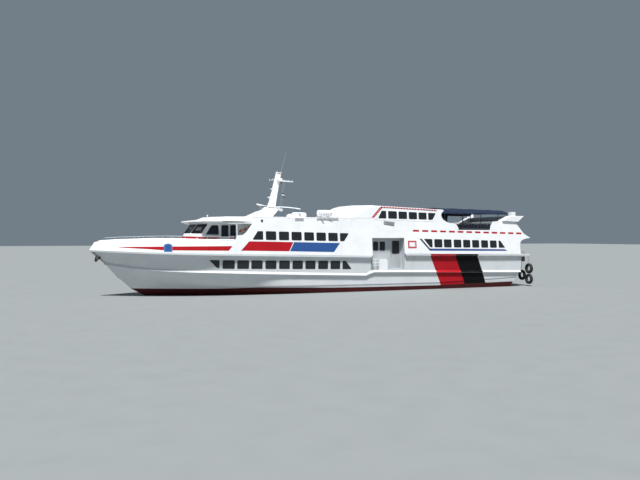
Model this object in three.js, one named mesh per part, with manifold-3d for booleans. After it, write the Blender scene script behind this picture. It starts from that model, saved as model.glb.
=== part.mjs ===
// Fast passenger ferry, 36 m long, twin screw, with two saloons, a third deck house and a shaded sun deck.
// Millimetres. +X points to the bow, +Y to port, +Z up. The origin lies amidships on the waterline.
import * as THREE from 'three';
import { mergeVertices } from 'three/addons/utils/BufferGeometryUtils.js';
import Module from 'manifold-3d';

const wasm = await Module();
wasm.setup();

// Driving dimensions
const GAP = 0.3;
const WALL = 90;
const BEAM_HALF = 3420;
const STERN_X = -18100;
const STEM_X = 18050;
const SIDE_LEAN = 0.085;
const SIDE_FOOT_Z = 2700;
const KNUCKLE_DEPTH = 120;
const BOW_START_X = 8400;
const LOBBY_FORE_X = -2760;
const LOBBY_AFT_X = -5650;
const LOBBY_FLOOR_Z = 1700;
const LOBBY_TOP_Z = 4200;
const LOBBY_INNER_Y = 2850;
const LINING = 80;
const UPPER_DECK_Z = 4750;
const SUN_DECK_Z = UPPER_DECK_Z - 170;
const ROOF_T = 90;
const SALOON_ROOF_Z = 5770;
const SALOON_FRONT_X = 6900;
const WHEELHOUSE_HALF = 2300;
const SALOON_FRONT_T = 70;
const ROOF_UNDER_Z = 5240;
const SUN_DECK_T = 80;
const SHAFT_Y = 1450;
const SHAFT_R = 45;
const SHAFT_TILT = 0.07;
const BORE_CLEARANCE = 0.9;
const BORE_SIDES = 24;
const PROPELLER_X = -14300;
const PROPELLER_Z = -1020;
const PROPELLER_R = 480;
const RUDDER_X = -15300;
const STOCK_R = 50;
const DOOR_T = 40;
const DOOR_LAP = 30;
const DOOR_CLEARANCE = 5;
const BARREL_R = 12;
const HOUSE_FRONT_X = -3300;
const DECK_FIT = 0.4;
const BOW_FULLNESS = 2.2;
const BULWARK_AFT_TOP_Z = 4060;
const CHAMFER = 60;
const CHAMFER_RUN = 220;

// Colours of the pieces
const WHITE = paint(0xf3f5f4, 0.35);
const HULL_WHITE = paint(0xe4eaeb, 0.4);
const GREY = paint(0xb9bfc0, 0.6);
const DARK = paint(0x1d2226, 0.3);
const GLASS = paint(0x1b242b, 0.1);
const NAVY = paint(0x1a2442, 0.8);
const RUBBER = paint(0x17181a, 0.9);
const STEEL = paint(0xc4c8ca, 0.35, 0.9);
const BRONZE = paint(0xa97a3c, 0.35, 0.9);
const ENGINE_GREEN = paint(0x4c6a5a, 0.5);
const ANTIFOUL = paint(0x6e1f24, 0.7);

function paint(color, roughness, metalness = 0) {
  return new THREE.MeshStandardMaterial({ color, roughness, metalness });
}

// Solids and geometries
function toSolid(geometry) {
  const bare = geometry.clone();
  bare.deleteAttribute('normal');
  bare.deleteAttribute('uv');
  const welded = mergeVertices(bare, 0.01);
  const corners = welded.index.array;
  const kept = [];
  for (let i = 0; i < corners.length; i += 3) {
    const [a, b, c] = corners.slice(i, i + 3);
    if (a !== b && b !== c && c !== a) kept.push(a, b, c);
  }
  return new wasm.Manifold(new wasm.Mesh({
    numProp: 3,
    vertProperties: Float32Array.from(welded.attributes.position.array),
    triVerts: Uint32Array.from(kept),
  }));
}

function toGeometry(solid) {
  const mesh = solid.getMesh();
  const geometry = new THREE.BufferGeometry();
  geometry.setAttribute('position', new THREE.BufferAttribute(mesh.vertProperties, 3));
  geometry.setIndex(new THREE.BufferAttribute(mesh.triVerts, 1));
  geometry.computeVertexNormals();
  return geometry;
}

// A closed outline pushed out between two values of one axis
const AXES = {
  x: new THREE.Matrix4().set(0, 0, 1, 0, 1, 0, 0, 0, 0, 1, 0, 0, 0, 0, 0, 1),
  y: new THREE.Matrix4().set(1, 0, 0, 0, 0, 0, -1, 0, 0, 1, 0, 0, 0, 0, 0, 1),
  z: new THREE.Matrix4(),
};

function prism(axis, outline, low, high) {
  const shape = new THREE.Shape(outline.map(([a, b]) => new THREE.Vector2(a, b)));
  const geometry = new THREE.ExtrudeGeometry(shape, { depth: high - low, bevelEnabled: false });
  geometry.applyMatrix4(AXES[axis]);
  const start = axis === 'y' ? high : low;
  geometry.translate(axis === 'x' ? start : 0, axis === 'y' ? start : 0, axis === 'z' ? start : 0);
  return toSolid(geometry);
}

function block(x0, x1, y0, y1, z0, z1) {
  const geometry = new THREE.BoxGeometry(x1 - x0, y1 - y0, z1 - z0);
  geometry.translate((x0 + x1) / 2, (y0 + y1) / 2, (z0 + z1) / 2);
  return toSolid(geometry);
}

function cylinder(from, to, radius, sides = 12, endRadius = radius) {
  const start = new THREE.Vector3(...from);
  const end = new THREE.Vector3(...to);
  const length = start.distanceTo(end);
  const geometry = new THREE.CylinderGeometry(endRadius, radius, length, sides);
  geometry.translate(0, length / 2, 0);
  const turn = new THREE.Quaternion().setFromUnitVectors(
    new THREE.Vector3(0, 1, 0), end.clone().sub(start).normalize());
  geometry.applyQuaternion(turn);
  geometry.translate(start.x, start.y, start.z);
  return toSolid(geometry);
}

// A closed skin through rings of equally many points, with flat ends unless the last ring is a line
function loft(rings, capPlane, openEnd = false) {
  const count = rings[0].length;
  const points = rings.flat().flat();
  const faces = [];
  for (let ring = 0; ring + 1 < rings.length; ring++) {
    for (let i = 0; i < count; i++) {
      const j = (i + 1) % count;
      const low = ring * count;
      const high = low + count;
      const onPort = i < Math.ceil(count / 2);
      if (onPort) faces.push([low + i, low + j, high + j], [low + i, high + j, high + i]);
      else faces.push([low + i, low + j, high + i], [low + j, high + j, high + i]);
    }
  }
  faces.push(...capFaces(rings[0], capPlane, 0).map(([a, b, c]) => [a, c, b]));
  if (!openEnd) faces.push(...capFaces(rings[rings.length - 1], capPlane, (rings.length - 1) * count));
  const outward = signedVolume(points, faces) > 0;
  const corners = faces.flatMap(([a, b, c]) => (outward ? [a, b, c] : [a, c, b]));
  const geometry = new THREE.BufferGeometry();
  geometry.setAttribute('position', new THREE.Float32BufferAttribute(points, 3));
  geometry.setIndex(corners);
  return toSolid(geometry);
}

// Triangles of a flat end, wound the way the ring runs
function capFaces(ring, plane, first) {
  const [u, v] = { yz: [1, 2], xy: [0, 1], xz: [0, 2] }[plane];
  const flat = ring.map((point) => new THREE.Vector2(point[u], point[v]));
  const faces = THREE.ShapeUtils.triangulateShape(flat, []);
  const sameWay = THREE.ShapeUtils.area(faces[0].map((i) => flat[i])) * THREE.ShapeUtils.area(flat) > 0;
  return faces.map(([a, b, c]) => (sameWay ? [a, b, c] : [a, c, b]).map((i) => i + first));
}

function signedVolume(points, faces) {
  const corner = (i) => new THREE.Vector3(points[3 * i], points[3 * i + 1], points[3 * i + 2]);
  return faces.reduce((total, [a, b, c]) => total + corner(a).dot(corner(b).cross(corner(c))), 0);
}

function moved(solid, change) {
  const geometry = toGeometry(solid);
  const place = geometry.attributes.position;
  for (let i = 0; i < place.count; i++) {
    place.setXYZ(i, ...change(place.getX(i), place.getY(i), place.getZ(i)));
  }
  return toSolid(geometry);
}

function mirrored(solid) {
  const geometry = toGeometry(solid);
  const corners = geometry.index.array;
  geometry.scale(1, -1, 1);
  for (let i = 0; i < corners.length; i += 3) {
    [corners[i + 1], corners[i + 2]] = [corners[i + 2], corners[i + 1]];
  }
  return toSolid(geometry);
}

function joined(solids) {
  return solids.reduce((all, one) => all.add(one));
}

const ferry = new THREE.Group();

function place(name, solid, material) {
  const mesh = new THREE.Mesh(toGeometry(solid), material);
  mesh.name = name;
  ferry.add(mesh);
}

function placePair(name, portSolid, material) {
  place(`${name}_port`, portSolid, material);
  place(`${name}_starboard`, mirrored(portSolid), material);
}

// Straight interpolation in a table of [x, value] rows that run aft to fore
function along(table, x) {
  const next = table.findIndex(([at]) => at >= x);
  if (next <= 0) return next === 0 ? table[0][1] : table[table.length - 1][1];
  const [x0, v0] = table[next - 1];
  const [x1, v1] = table[next];
  return v0 + (v1 - v0) * (x - x0) / (x1 - x0);
}

// Heights of the long lines of the hull, rows of [x, z]
const KNUCKLE_Z = [[-18100, 2680], [-17000, 2680], [-8900, 2760], [-5650, 2815], [-2800, 2690],
  [-2300, 2690], [3350, 2810], [8400, 2930], [12650, 3045], [14600, 3100], [18050, 3240]];
const LEDGE_Z = [[-17300, 1240], [-12000, 1340], [-5650, 1470], [-2800, 1520], [-2300, 1270],
  [3350, 1455], [8400, 1650], [12650, 1810], [14600, 1940], [17100, 2320]];
const RAIL_Z = [[-16800, 840], [-13600, 710], [-9000, 560], [0, 590], [7900, 690], [10500, 810],
  [12700, 1040], [14100, 1140], [16100, 1320]];
const BOOT_Z = [[-16600, 440], [-13700, 400], [-9000, 310], [-2900, 345], [400, 390], [6300, 540],
  [9200, 490], [15200, 550]];
const CHINE_Z = [[-16300, -250], [-3000, -450], [7000, -450], [11000, -280], [14100, -60]];
const KEEL_Z = [[-15900, -560], [-6000, -1250], [8000, -1380], [11600, -1280]];
const STATIONS_X = [STERN_X, -17000, -12000, -8900, LOBBY_AFT_X, -2800, -2300, 500, 3350, 6000,
  BOW_START_X, 10600, 12650, 14600, 16000, 17100, STEM_X];

// Hull lines from the keel up: ends, half-breadth, where it starts to narrow, fullness, heights, lift
const HULL_LINES = [
  { aft: -15900, stem: 11600, half: 0, narrow: 0, full: 1, z: KEEL_Z, lift: 0 },
  { aft: -16300, stem: 14100, half: 2780, narrow: -2000, full: 1.9, z: CHINE_Z, lift: 0 },
  { aft: -16600, stem: 15200, half: 3040, narrow: 1200, full: 1.9, z: BOOT_Z, lift: 0 },
  { aft: -16950, stem: 15950, half: 3055, narrow: 2900, full: 1.95, z: RAIL_Z, lift: -45 },
  { aft: -16950, stem: 16100, half: 3095, narrow: 3000, full: 1.95, z: RAIL_Z, lift: 0 },
  { aft: -17100, stem: 16900, half: 3120, narrow: 6100, full: 2.15, z: LEDGE_Z, lift: -25 },
  { aft: -17280, stem: 17100, half: 3270, narrow: 6300, full: 2.2, z: LEDGE_Z, lift: 0 },
  { aft: -17290, stem: 16960, half: 3170, narrow: 6400, full: 2.2, z: LEDGE_Z, lift: 165 },
  { aft: -17330, stem: 17700, half: 3250, narrow: 7200, full: 2.2, z: KNUCKLE_Z, lift: -20 },
  { aft: STERN_X, stem: STEM_X - 60, half: BEAM_HALF, narrow: BOW_START_X, full: 2.2, z: KNUCKLE_Z, lift: 0 },
  { aft: STERN_X, stem: STEM_X, half: BEAM_HALF, narrow: BOW_START_X, full: 2.2, z: KNUCKLE_Z,
    lift: KNUCKLE_DEPTH },
];

function linePoint(line, station) {
  const share = (station - STERN_X) / (STEM_X - STERN_X);
  const x = line.aft + (line.stem - line.aft) * share;
  const past = Math.max(0, (x - line.narrow) / (line.stem - line.narrow));
  const y = share >= 1 ? 0 : line.half * (1 - past ** line.full);
  return [x, y, along(line.z, x) + line.lift];
}

// Height of the deck edge, straight between the stations as the hull is
function deckZ(x) {
  return along(STATIONS_X.map((at) => [at, along(KNUCKLE_Z, at) + KNUCKLE_DEPTH]), x);
}

// Points just above the deck edge between two places, given aft to fore
function footLine(aftX, foreX) {
  const between = STATIONS_X.filter((x) => x > aftX && x < foreX);
  return [aftX, ...between, foreX].map((x) => [x, deckZ(x) + GAP]);
}

// Outside of the leaning house side at a height
function sideY(z) {
  return BEAM_HALF - SIDE_LEAN * (z - SIDE_FOOT_Z);
}

function sidePanel(outline) {
  return moved(prism('y', outline, 0, WALL), (x, y, z) => [x, sideY(z) - WALL + y, z]);
}

// Reach of the cutting blocks, past every side of the ferry
const BEYOND = 9000;

// Skeg and bores of the hull
const SKEG = {
  half: 90,
  outline: [[-11000, -700], [-10200, -1500], [4000, -1500], [6500, -1250], [6500, -700]],
};
const STOCK_BORE = { low: -900, high: 400 };
const SHAFT_END_X = -8700;
const SHAFT_BORE_SIDES = 16;

// Hull: underwater body, stepped sides and flat-topped knuckle, with the side lobbies and engine room cut in
const ENGINE_ROOM = { aft: -12600, fore: -8600, half: 2000, floor: -150 };

function hull() {
  const rings = STATIONS_X.map((station) => {
    const port = HULL_LINES.map((line) => linePoint(line, station));
    const starboard = port.slice(1).reverse().map(([x, y, z]) => [x, -y, z]);
    return [...port, ...starboard];
  });
  const body = loft(rings, 'yz', true);
  const lobby = block(LOBBY_AFT_X - LINING, LOBBY_FORE_X + LINING, -BEYOND, BEYOND, LOBBY_FLOOR_Z, BEYOND);
  const engineRoom = block(ENGINE_ROOM.aft, ENGINE_ROOM.fore, -ENGINE_ROOM.half, ENGINE_ROOM.half,
    ENGINE_ROOM.floor, BEYOND);
  const skeg = prism('y', SKEG.outline, -SKEG.half, SKEG.half);
  const stockBore = cylinder([RUDDER_X, SHAFT_Y, STOCK_BORE.low], [RUDDER_X, SHAFT_Y, STOCK_BORE.high],
    STOCK_R + BORE_CLEARANCE, BORE_SIDES);
  const shaftBore = tilted(cylinder([PROPELLER_X, SHAFT_Y, PROPELLER_Z], [SHAFT_END_X, SHAFT_Y, PROPELLER_Z],
    SHAFT_R + BORE_CLEARANCE, SHAFT_BORE_SIDES));
  const bores = [stockBore, shaftBore].flatMap((bore) => [bore, mirrored(bore)]);
  return bores.reduce((all, bore) => all.subtract(bore), body.add(skeg).subtract(lobby).subtract(engineRoom));
}

// Turned up with the shaft line about the middle of the propeller
function tilted(solid) {
  const geometry = toGeometry(solid);
  geometry.translate(-PROPELLER_X, 0, -PROPELLER_Z);
  geometry.rotateY(-SHAFT_TILT);
  geometry.translate(PROPELLER_X, 0, PROPELLER_Z);
  return toSolid(geometry);
}

// Engine room cover and the two engines under it
const COVER = { lap: 150, height: 40 };
const ENGINE = { aft: -12000, fore: -9600, inner: 300, outer: 1650, height: 1400 };

function engineRoomCover() {
  const foot = footLine(ENGINE_ROOM.aft - COVER.lap, ENGINE_ROOM.fore + COVER.lap);
  const top = foot.slice().reverse().map(([x, z]) => [x, z + COVER.height]);
  const half = ENGINE_ROOM.half + COVER.lap;
  return prism('y', [...foot, ...top], -half, half);
}

function engine() {
  const floor = ENGINE_ROOM.floor + GAP;
  return block(ENGINE.aft, ENGINE.fore, ENGINE.inner, ENGINE.outer, floor, floor + ENGINE.height);
}

// Propeller with its shaft, seen from astern turning about the shaft line
const HUB = { aft: 260, fore: 250, sides: 12, radius: 70, foreRadius: 95 };
const BLADE = { count: 4, half: 16, pitch: 0.55,
  outline: [[-90, 60], [-200, 260], [-150, 430], [0, PROPELLER_R], [150, 420], [190, 250], [90, 60]] };
const SHAFT_FORE_X = -8900;

function propeller() {
  const shaft = cylinder([PROPELLER_X + 200, SHAFT_Y, PROPELLER_Z], [SHAFT_FORE_X, SHAFT_Y, PROPELLER_Z],
    SHAFT_R, BORE_SIDES);
  const hubEnds = [-HUB.aft, HUB.fore].map((reach) => [PROPELLER_X + reach, SHAFT_Y, PROPELLER_Z]);
  const hub = cylinder(...hubEnds, HUB.radius, HUB.sides, HUB.foreRadius);
  const blades = Array.from({ length: BLADE.count }, (_, i) => {
    const geometry = toGeometry(prism('x', BLADE.outline, -BLADE.half, BLADE.half));
    geometry.rotateZ(BLADE.pitch);
    geometry.rotateX(i * 2 * Math.PI / BLADE.count);
    geometry.translate(PROPELLER_X, SHAFT_Y, PROPELLER_Z);
    return toSolid(geometry);
  });
  return tilted(joined([shaft, hub, ...blades]));
}

// Bracket that carries the shaft, with a ring around it
const BRACKET = { fromPropeller: 700, half: 140, radius: 95, strutHalf: 110, strutHeadHalf: 130, strutT: 18,
  footRise: 60, headZ: -200 };

function shaftBracket() {
  const x = PROPELLER_X + BRACKET.fromPropeller;
  const across = (half, radius, sides) =>
    cylinder([x - half, SHAFT_Y, PROPELLER_Z], [x + half, SHAFT_Y, PROPELLER_Z], radius, sides);
  const ring = across(BRACKET.half, BRACKET.radius, 16);
  const hole = across(2 * BRACKET.half, SHAFT_R + BORE_CLEARANCE, BORE_SIDES);
  const { strutHalf, strutHeadHalf, strutT, footRise, headZ } = BRACKET;
  const strut = prism('y', [[x - strutHalf, PROPELLER_Z + footRise], [x + strutHalf, PROPELLER_Z + footRise],
    [x + strutHeadHalf, headZ], [x - strutHeadHalf, headZ]], SHAFT_Y - strutT, SHAFT_Y + strutT);
  return tilted(ring.add(strut).subtract(hole)).subtract(underHull);
}

// Spade rudder on its stock
const RUDDER = { half: 45, outline: [[-450, -1480], [170, -1480], [210, -760], [-420, -760]], stockTop: 300 };

function rudder() {
  const outline = RUDDER.outline.map(([x, z]) => [RUDDER_X + x, z]);
  const blade = prism('y', outline, SHAFT_Y - RUDDER.half, SHAFT_Y + RUDDER.half);
  const stock = cylinder([RUDDER_X, SHAFT_Y, STOCK_BORE.low], [RUDDER_X, SHAFT_Y, RUDDER.stockTop], STOCK_R,
    BORE_SIDES);
  return blade.add(stock);
}

// Bulwark round the bow, rows as in the hull lines
const BULWARK_TOP_Z = [[BOW_START_X, BULWARK_AFT_TOP_Z], [10500, 4070], [12900, 4140], [15900, 4060],
  [17400, 3980], [17720, 3900]];

function bowBulwark() {
  const topHalf = sideY(BULWARK_AFT_TOP_Z);
  const lines = [
    { stem: STEM_X, half: BEAM_HALF, z: null },
    { stem: 17720, half: topHalf, z: BULWARK_TOP_Z },
    { stem: 17450, half: topHalf - WALL, z: BULWARK_TOP_Z },
    { stem: 17650, half: BEAM_HALF - WALL, z: null },
  ];
  const stations = STATIONS_X.filter((x) => x >= BOW_START_X);
  const ringAt = (station, side) => lines.map((line) => {
    const share = (station - BOW_START_X) / (STEM_X - BOW_START_X);
    const x = BOW_START_X + (line.stem - BOW_START_X) * share;
    const y = line.half * (1 - share ** BOW_FULLNESS);
    return [x, side * y, line.z ? along(line.z, x) : deckZ(x) + GAP];
  });
  const port = stations.map((station) => ringAt(station, 1));
  const starboard = stations.slice(0, -1).reverse().map((station) => ringAt(station, -1));
  return loft([...port, ...starboard], 'yz');
}

// House sides, outlines as [x, z]
function forwardSide() {
  return sidePanel([...footLine(LOBBY_FORE_X, BOW_START_X - GAP),
    [BOW_START_X - GAP, 4060], [8250, 4120], [8190, 4380], [7720, 4430], [7500, 4580], [7330, 4800],
    [SALOON_ROOF_FORE_X, ROOF_UNDER_Z - GAP],
    [SALOON_ROOF_FORE_X, SALOON_ROOF_Z - ROOF_T - GAP], [HOUSE_FRONT_X, SALOON_ROOF_Z - ROOF_T - GAP],
    [HOUSE_FRONT_X, UPPER_DECK_Z - GAP], [LOBBY_AFT_X, UPPER_DECK_Z - GAP],
    [LOBBY_AFT_X, LOBBY_TOP_Z], [LOBBY_FORE_X, LOBBY_TOP_Z]]);
}

const WING_UNDER = [[-16930, 5585], [-15330, 5650]];

function aftSide() {
  const pedestalTop = [-15330, -16720].map((x) => [x, along(WING_UNDER, x) - GAP]);
  return sidePanel([[-17160, deckZ(-17000) + GAP], ...footLine(-17000, LOBBY_AFT_X - GAP),
    [LOBBY_AFT_X - GAP, UPPER_DECK_Z - GAP], [-10870, UPPER_DECK_Z - GAP], [-10900, 4860],
    [-14060, 4860], [-14160, 5230], [-14400, 5580], ...pedestalTop, [-17560, 4600], [-17900, 4400],
    [-18250, 4230], [-18240, 4190], [-17800, 4140], [-17400, 4030], [-17190, 3840], [-17120, 3500]]);
}

// Top line of the third deck roof, aft to fore
const HOUSE_ROOF = [[-9500, 6540], [-8650, 6570], [HOUSE_FRONT_X, 6765]];
const SALOON_ROOF_FORE_X = SALOON_FRONT_X + 80;

function thirdDeckSide() {
  const underRoof = HOUSE_ROOF.slice().reverse().map(([x, z]) => [x, z - ROOF_T - GAP]);
  return sidePanel([[-10870 + GAP, UPPER_DECK_Z], [HOUSE_FRONT_X - GAP, UPPER_DECK_Z],
    [HOUSE_FRONT_X - GAP, underRoof[0][1]], ...underRoof.slice(1),
    [-9250, 6210], [-9220, 5950], [-9390, 5720], [-9700, 5530], [-10010, 5440], [-10660, 5340],
    [-10860, 5030]]);
}

// Roof that runs straight across, with chamfered edges
function thirdDeckRoof() {
  const rings = HOUSE_ROOF.map(([x, z]) => {
    const half = sideY(z - ROOF_T);
    const place = x === HOUSE_FRONT_X ? x - GAP : x;
    return [[place, -half, z - ROOF_T], [place, half, z - ROOF_T], [place, half, z - CHAMFER],
      [place, half - CHAMFER_RUN, z], [place, CHAMFER_RUN - half, z], [place, -half, z - CHAMFER]];
  });
  return loft(rings, 'yz');
}

// Bulkhead that closes the third deck towards the sun deck, with its doorway
const HOUSE_BULKHEAD = { aft: -9160, t: 60 };
const HOUSE_DOOR = { half: 400, sill: 4740, head: 6040 };

function houseBulkhead() {
  const { aft, t } = HOUSE_BULKHEAD;
  const [foot, head] = [SUN_DECK_Z + GAP, along(HOUSE_ROOF, aft) - ROOF_T - GAP];
  const [low, high] = [foot, head].map((z) => sideY(z) - WALL - DECK_FIT);
  const wall = prism('x', [[-low, foot], [low, foot], [high, head], [-high, head]], aft, aft + t);
  const { half, sill, head: doorHead } = HOUSE_DOOR;
  return wall.subtract(block(-2 * BEYOND, 0, -half, half, sill, doorHead));
}

// Raked front of the third deck, as its height, the middle face's x and half width, and the side face's x
const HOUSE_FRONT_ROWS = [
  { z: SALOON_ROOF_Z, fore: 100, half: 1900, turn: -1150 },
  { z: 6070, fore: -450, half: 1800, turn: -1700 },
  { z: 6500, fore: -1230, half: 1600, turn: -2450 },
  { z: 6720, fore: -1640, half: 1450, turn: -2850 },
];

// Top edge of that front from port to starboard, as x, half width and height
const HOUSE_CREST = [[-3050, 6790], [-1980, 6820]];
const HOUSE_CREST_HALF = 1300;

function houseFrontLoft(inset, lift, aft) {
  const rings = HOUSE_FRONT_ROWS.map(({ z, fore, half, turn }) => {
    const side = sideY(z) - inset;
    const middle = fore - 1.5 * inset;
    const port = [[middle, half - inset / 2], [turn - inset, side], [aft, side]];
    const starboard = port.slice().reverse().map(([x, y]) => [x, -y]);
    return [...starboard, ...port].map(([x, y]) => [x, y, z + lift]);
  });
  const side = sideY(HOUSE_FRONT_ROWS[3].z) - inset - CHAMFER_RUN;
  const [[turnX, turnZ], [foreX, foreZ]] = HOUSE_CREST;
  const port = [[foreX, HOUSE_CREST_HALF, foreZ], [turnX, side, turnZ], [aft, side, HOUSE_ROOF[2][1]]];
  const starboard = port.slice().reverse().map(([x, y, z]) => [x, -y, z]);
  return loft([...rings, [...starboard, ...port].map(([x, y, z]) => [x, y, z - inset])], 'xy');
}

function thirdDeckFront() {
  const inside = houseFrontLoft(WALL, -1, HOUSE_FRONT_X - 200);
  const below = block(-BEYOND, BEYOND, -BEYOND, BEYOND, 0, ON_ROOF_Z);
  return houseFrontLoft(0, GAP, HOUSE_FRONT_X).subtract(inside).subtract(below);
}

function upperSaloonRoof() {
  const half = sideY(5700);
  return block(HOUSE_FRONT_X + GAP, SALOON_ROOF_FORE_X, -half, half, SALOON_ROOF_Z - ROOF_T, SALOON_ROOF_Z);
}

const SALOON_DOORWAY = { half: 400, sill: 3200, head: 5100 };

function saloonFront() {
  const half = sideY(5660) - WALL - 30;
  const foreX = SALOON_FRONT_X + SALOON_FRONT_T;
  const wall = block(SALOON_FRONT_X, foreX, -half, half, deckZ(foreX) + GAP, SALOON_ROOF_Z - ROOF_T - GAP);
  const { half: doorHalf, sill, head } = SALOON_DOORWAY;
  return wall.subtract(block(-BEYOND, BEYOND, -doorHalf, doorHalf, sill, head));
}

const ON_ROOF_Z = SALOON_ROOF_Z + GAP;
const WHEELHOUSE_AFT_X = SALOON_FRONT_X + SALOON_FRONT_T + GAP;

// Wheelhouse plan from the centre to the port aft corner, as [x, y] at the deck, the sill and the head
const WHEELHOUSE_PLANS = [
  { z: 2900, rows: [[12005, 0], [11744, 1150], [10968, WHEELHOUSE_HALF], [WHEELHOUSE_AFT_X, WHEELHOUSE_HALF]] },
  { z: 4480, rows: [[11340, 0], [11150, 1150], [10540, WHEELHOUSE_HALF], [WHEELHOUSE_AFT_X, WHEELHOUSE_HALF]] },
  { z: ROOF_UNDER_Z - GAP, rows: [[10790, 0], [10600, 1120], [10040, WHEELHOUSE_HALF],
    [WHEELHOUSE_AFT_X, WHEELHOUSE_HALF]] },
];

function wheelhouseLoft(inset) {
  const rings = WHEELHOUSE_PLANS.map(({ z, rows }) => {
    const port = rows.map(([x, y]) => [x - inset, Math.max(0, y - inset), z]);
    const starboard = port.slice(1).reverse().map(([x, y]) => [x, -y, z]);
    return [...port, ...starboard];
  });
  return loft(rings, 'xy');
}

const WHEELHOUSE_SPLIT_X = 10330;
const WHEELHOUSE_DOOR = { aft: 8520, fore: 9120, sill: 3250, head: 5160 };

const WHEELHOUSE_WALL = 60;

function wheelhouseShell() {
  const inside = moved(wheelhouseLoft(WHEELHOUSE_WALL), (x, y, z) =>
    [x < 9000 ? x - 500 : x, y, z < 4000 ? z - 200 : z]);
  const above = moved(inside, (x, y, z) => [x, y, z > 5000 ? z + 50 : z]);
  const foot = prism('y', [[5000, 2000], ...footLine(5000, 13000), [13000, 2000]], -BEYOND, BEYOND);
  return wheelhouseLoft(0).subtract(above).subtract(foot);
}

// Window openings of the wheelhouse: the four panes ahead as [left, right], and the port side ones as [x, z]
const SCREEN = { panes: [[-2080, -1230], [-1090, -50], [50, 1090], [1230, 2080]], sill: 4560, head: 5200 };
const SIDE_WINDOW = [[10180, 4490], [9790, 5110], [9320, 5110], [9290, 4460]];
const AFT_SIDE_WINDOW = [[8010, 4370], [8400, 4370], [8400, 5150], [8010, 5150]];

function wheelhouseFront() {
  const panes = SCREEN.panes.map(([left, right]) =>
    block(WHEELHOUSE_SPLIT_X + 20, BEYOND + 4000, left, right, SCREEN.sill, SCREEN.head));
  const ahead = block(WHEELHOUSE_SPLIT_X + GAP, BEYOND + 4000, -BEYOND, BEYOND, 0, BEYOND);
  return panes.reduce((all, pane) => all.subtract(pane), wheelhouseShell().intersect(ahead));
}

function wheelhouseSide() {
  const beside = block(WHEELHOUSE_AFT_X - 10, WHEELHOUSE_SPLIT_X, WHEELHOUSE_HALF / 2, BEYOND, 0, BEYOND);
  const { aft, fore, sill, head } = WHEELHOUSE_DOOR;
  const doorway = [[aft, sill], [fore, sill], [fore, head], [aft, head]];
  const openings = [SIDE_WINDOW, AFT_SIDE_WINDOW, doorway].map((outline) =>
    prism('y', outline, WHEELHOUSE_HALF / 2, BEYOND));
  return openings.reduce((all, opening) => all.subtract(opening), wheelhouseShell().intersect(beside));
}

// A leaf that laps its doorway on one face of the wall, on a hinge barrel as tall as the leaf along one edge
function lappedDoor({ aft, fore, sill, head }, wallY, outward, hingeX) {
  const [near, far] = [DOOR_CLEARANCE, DOOR_CLEARANCE + DOOR_T].map((off) => wallY + outward * off);
  const leaf = block(aft - DOOR_LAP, fore + DOOR_LAP, Math.min(near, far), Math.max(near, far),
    sill - DOOR_LAP, head + DOOR_LAP);
  const barrelY = wallY + outward * (BARREL_R + GAP);
  const barrel = cylinder([hingeX, barrelY, sill - DOOR_LAP], [hingeX, barrelY, head + DOOR_LAP], BARREL_R, 12);
  return leaf.add(barrel);
}

const DOOR_PANE = { border: 45, sill: 4270, head: 35 };

function wheelhouseDoor() {
  const { aft, fore, head } = WHEELHOUSE_DOOR;
  const pane = block(aft + DOOR_PANE.border, fore - DOOR_PANE.border, 0, BEYOND, DOOR_PANE.sill,
    head - DOOR_PANE.head);
  return lappedDoor(WHEELHOUSE_DOOR, WHEELHOUSE_HALF, 1, fore + DOOR_LAP).subtract(pane);
}

// Wheelhouse roof with its visor, as heights, half widths and how far the middle reaches forward
const ROOF_ROWS = [
  { z: ROOF_UNDER_Z, half: 3150, foreHalf: 2950, reach: 11050 },
  { z: 5400, half: 3160, foreHalf: 2970, reach: 11550 },
  { z: 5440, half: 3160, foreHalf: 2970, reach: 11500 },
  { z: 5560, half: 3120, foreHalf: 2850, reach: 10420 },
  { z: 5760, half: 3000, foreHalf: 2650, reach: 9900 },
];
const ROOF_POST = { x: 8150, foot: [3215, 4392], head: [3112, 5300], radius: 32 };

function wheelhouseRoof() {
  const aft = SALOON_ROOF_FORE_X + 2;
  const rings = ROOF_ROWS.map(({ z, half, foreHalf, reach }) => {
    const port = [[reach - 300, 0.55 * foreHalf], [reach - 950, foreHalf], [reach - 2300, half], [aft, half]];
    const starboard = port.slice().reverse().map(([x, y]) => [x, -y]);
    return [...starboard, [reach, 0], ...port].map(([x, y]) => [x, y, z]);
  });
  const posts = [-1, 1].map((side) => {
    const [foot, head] = [ROOF_POST.foot, ROOF_POST.head].map(([y, z]) => [ROOF_POST.x, side * y, z]);
    return cylinder(foot, head, ROOF_POST.radius, 8);
  });
  return joined([loft(rings, 'xy'), ...posts]);
}

// Console and seat at the helm, the console as [x, z] above its foot
const CONSOLE = { half: 1700, fore: 10500, outline: [[10500, 4200], [10350, 4330], [9900, 4150], [9950, 3900]],
  footAft: 10150 };
const HELM = { x: 9000, stemR: 60, seat: [8760, 9260, -260, 260, 3690, 3820], backHalf: 250,
  back: [[8700, 3700], [8800, 3700], [8800, 3810], [8740, 4450], [8640, 4450], [8700, 3810]] };

function helmConsole() {
  const foot = deckZ(CONSOLE.fore) + GAP;
  return prism('y', [[CONSOLE.fore, foot], ...CONSOLE.outline, [CONSOLE.footAft, foot]],
    -CONSOLE.half, CONSOLE.half);
}

function helmSeat() {
  const stem = cylinder([HELM.x, 0, deckZ(HELM.x + HELM.stemR) + GAP], [HELM.x, 0, 3700], HELM.stemR, 12);
  return joined([stem, block(...HELM.seat), prism('y', HELM.back, -HELM.backHalf, HELM.backHalf)]);
}

// Side lobby lining with its doorway, its door and the gate rail at the ship's side
const LOBBY_DOOR = { fore: -4640, aft: -5560, sill: 1760, head: 4100 };

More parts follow.
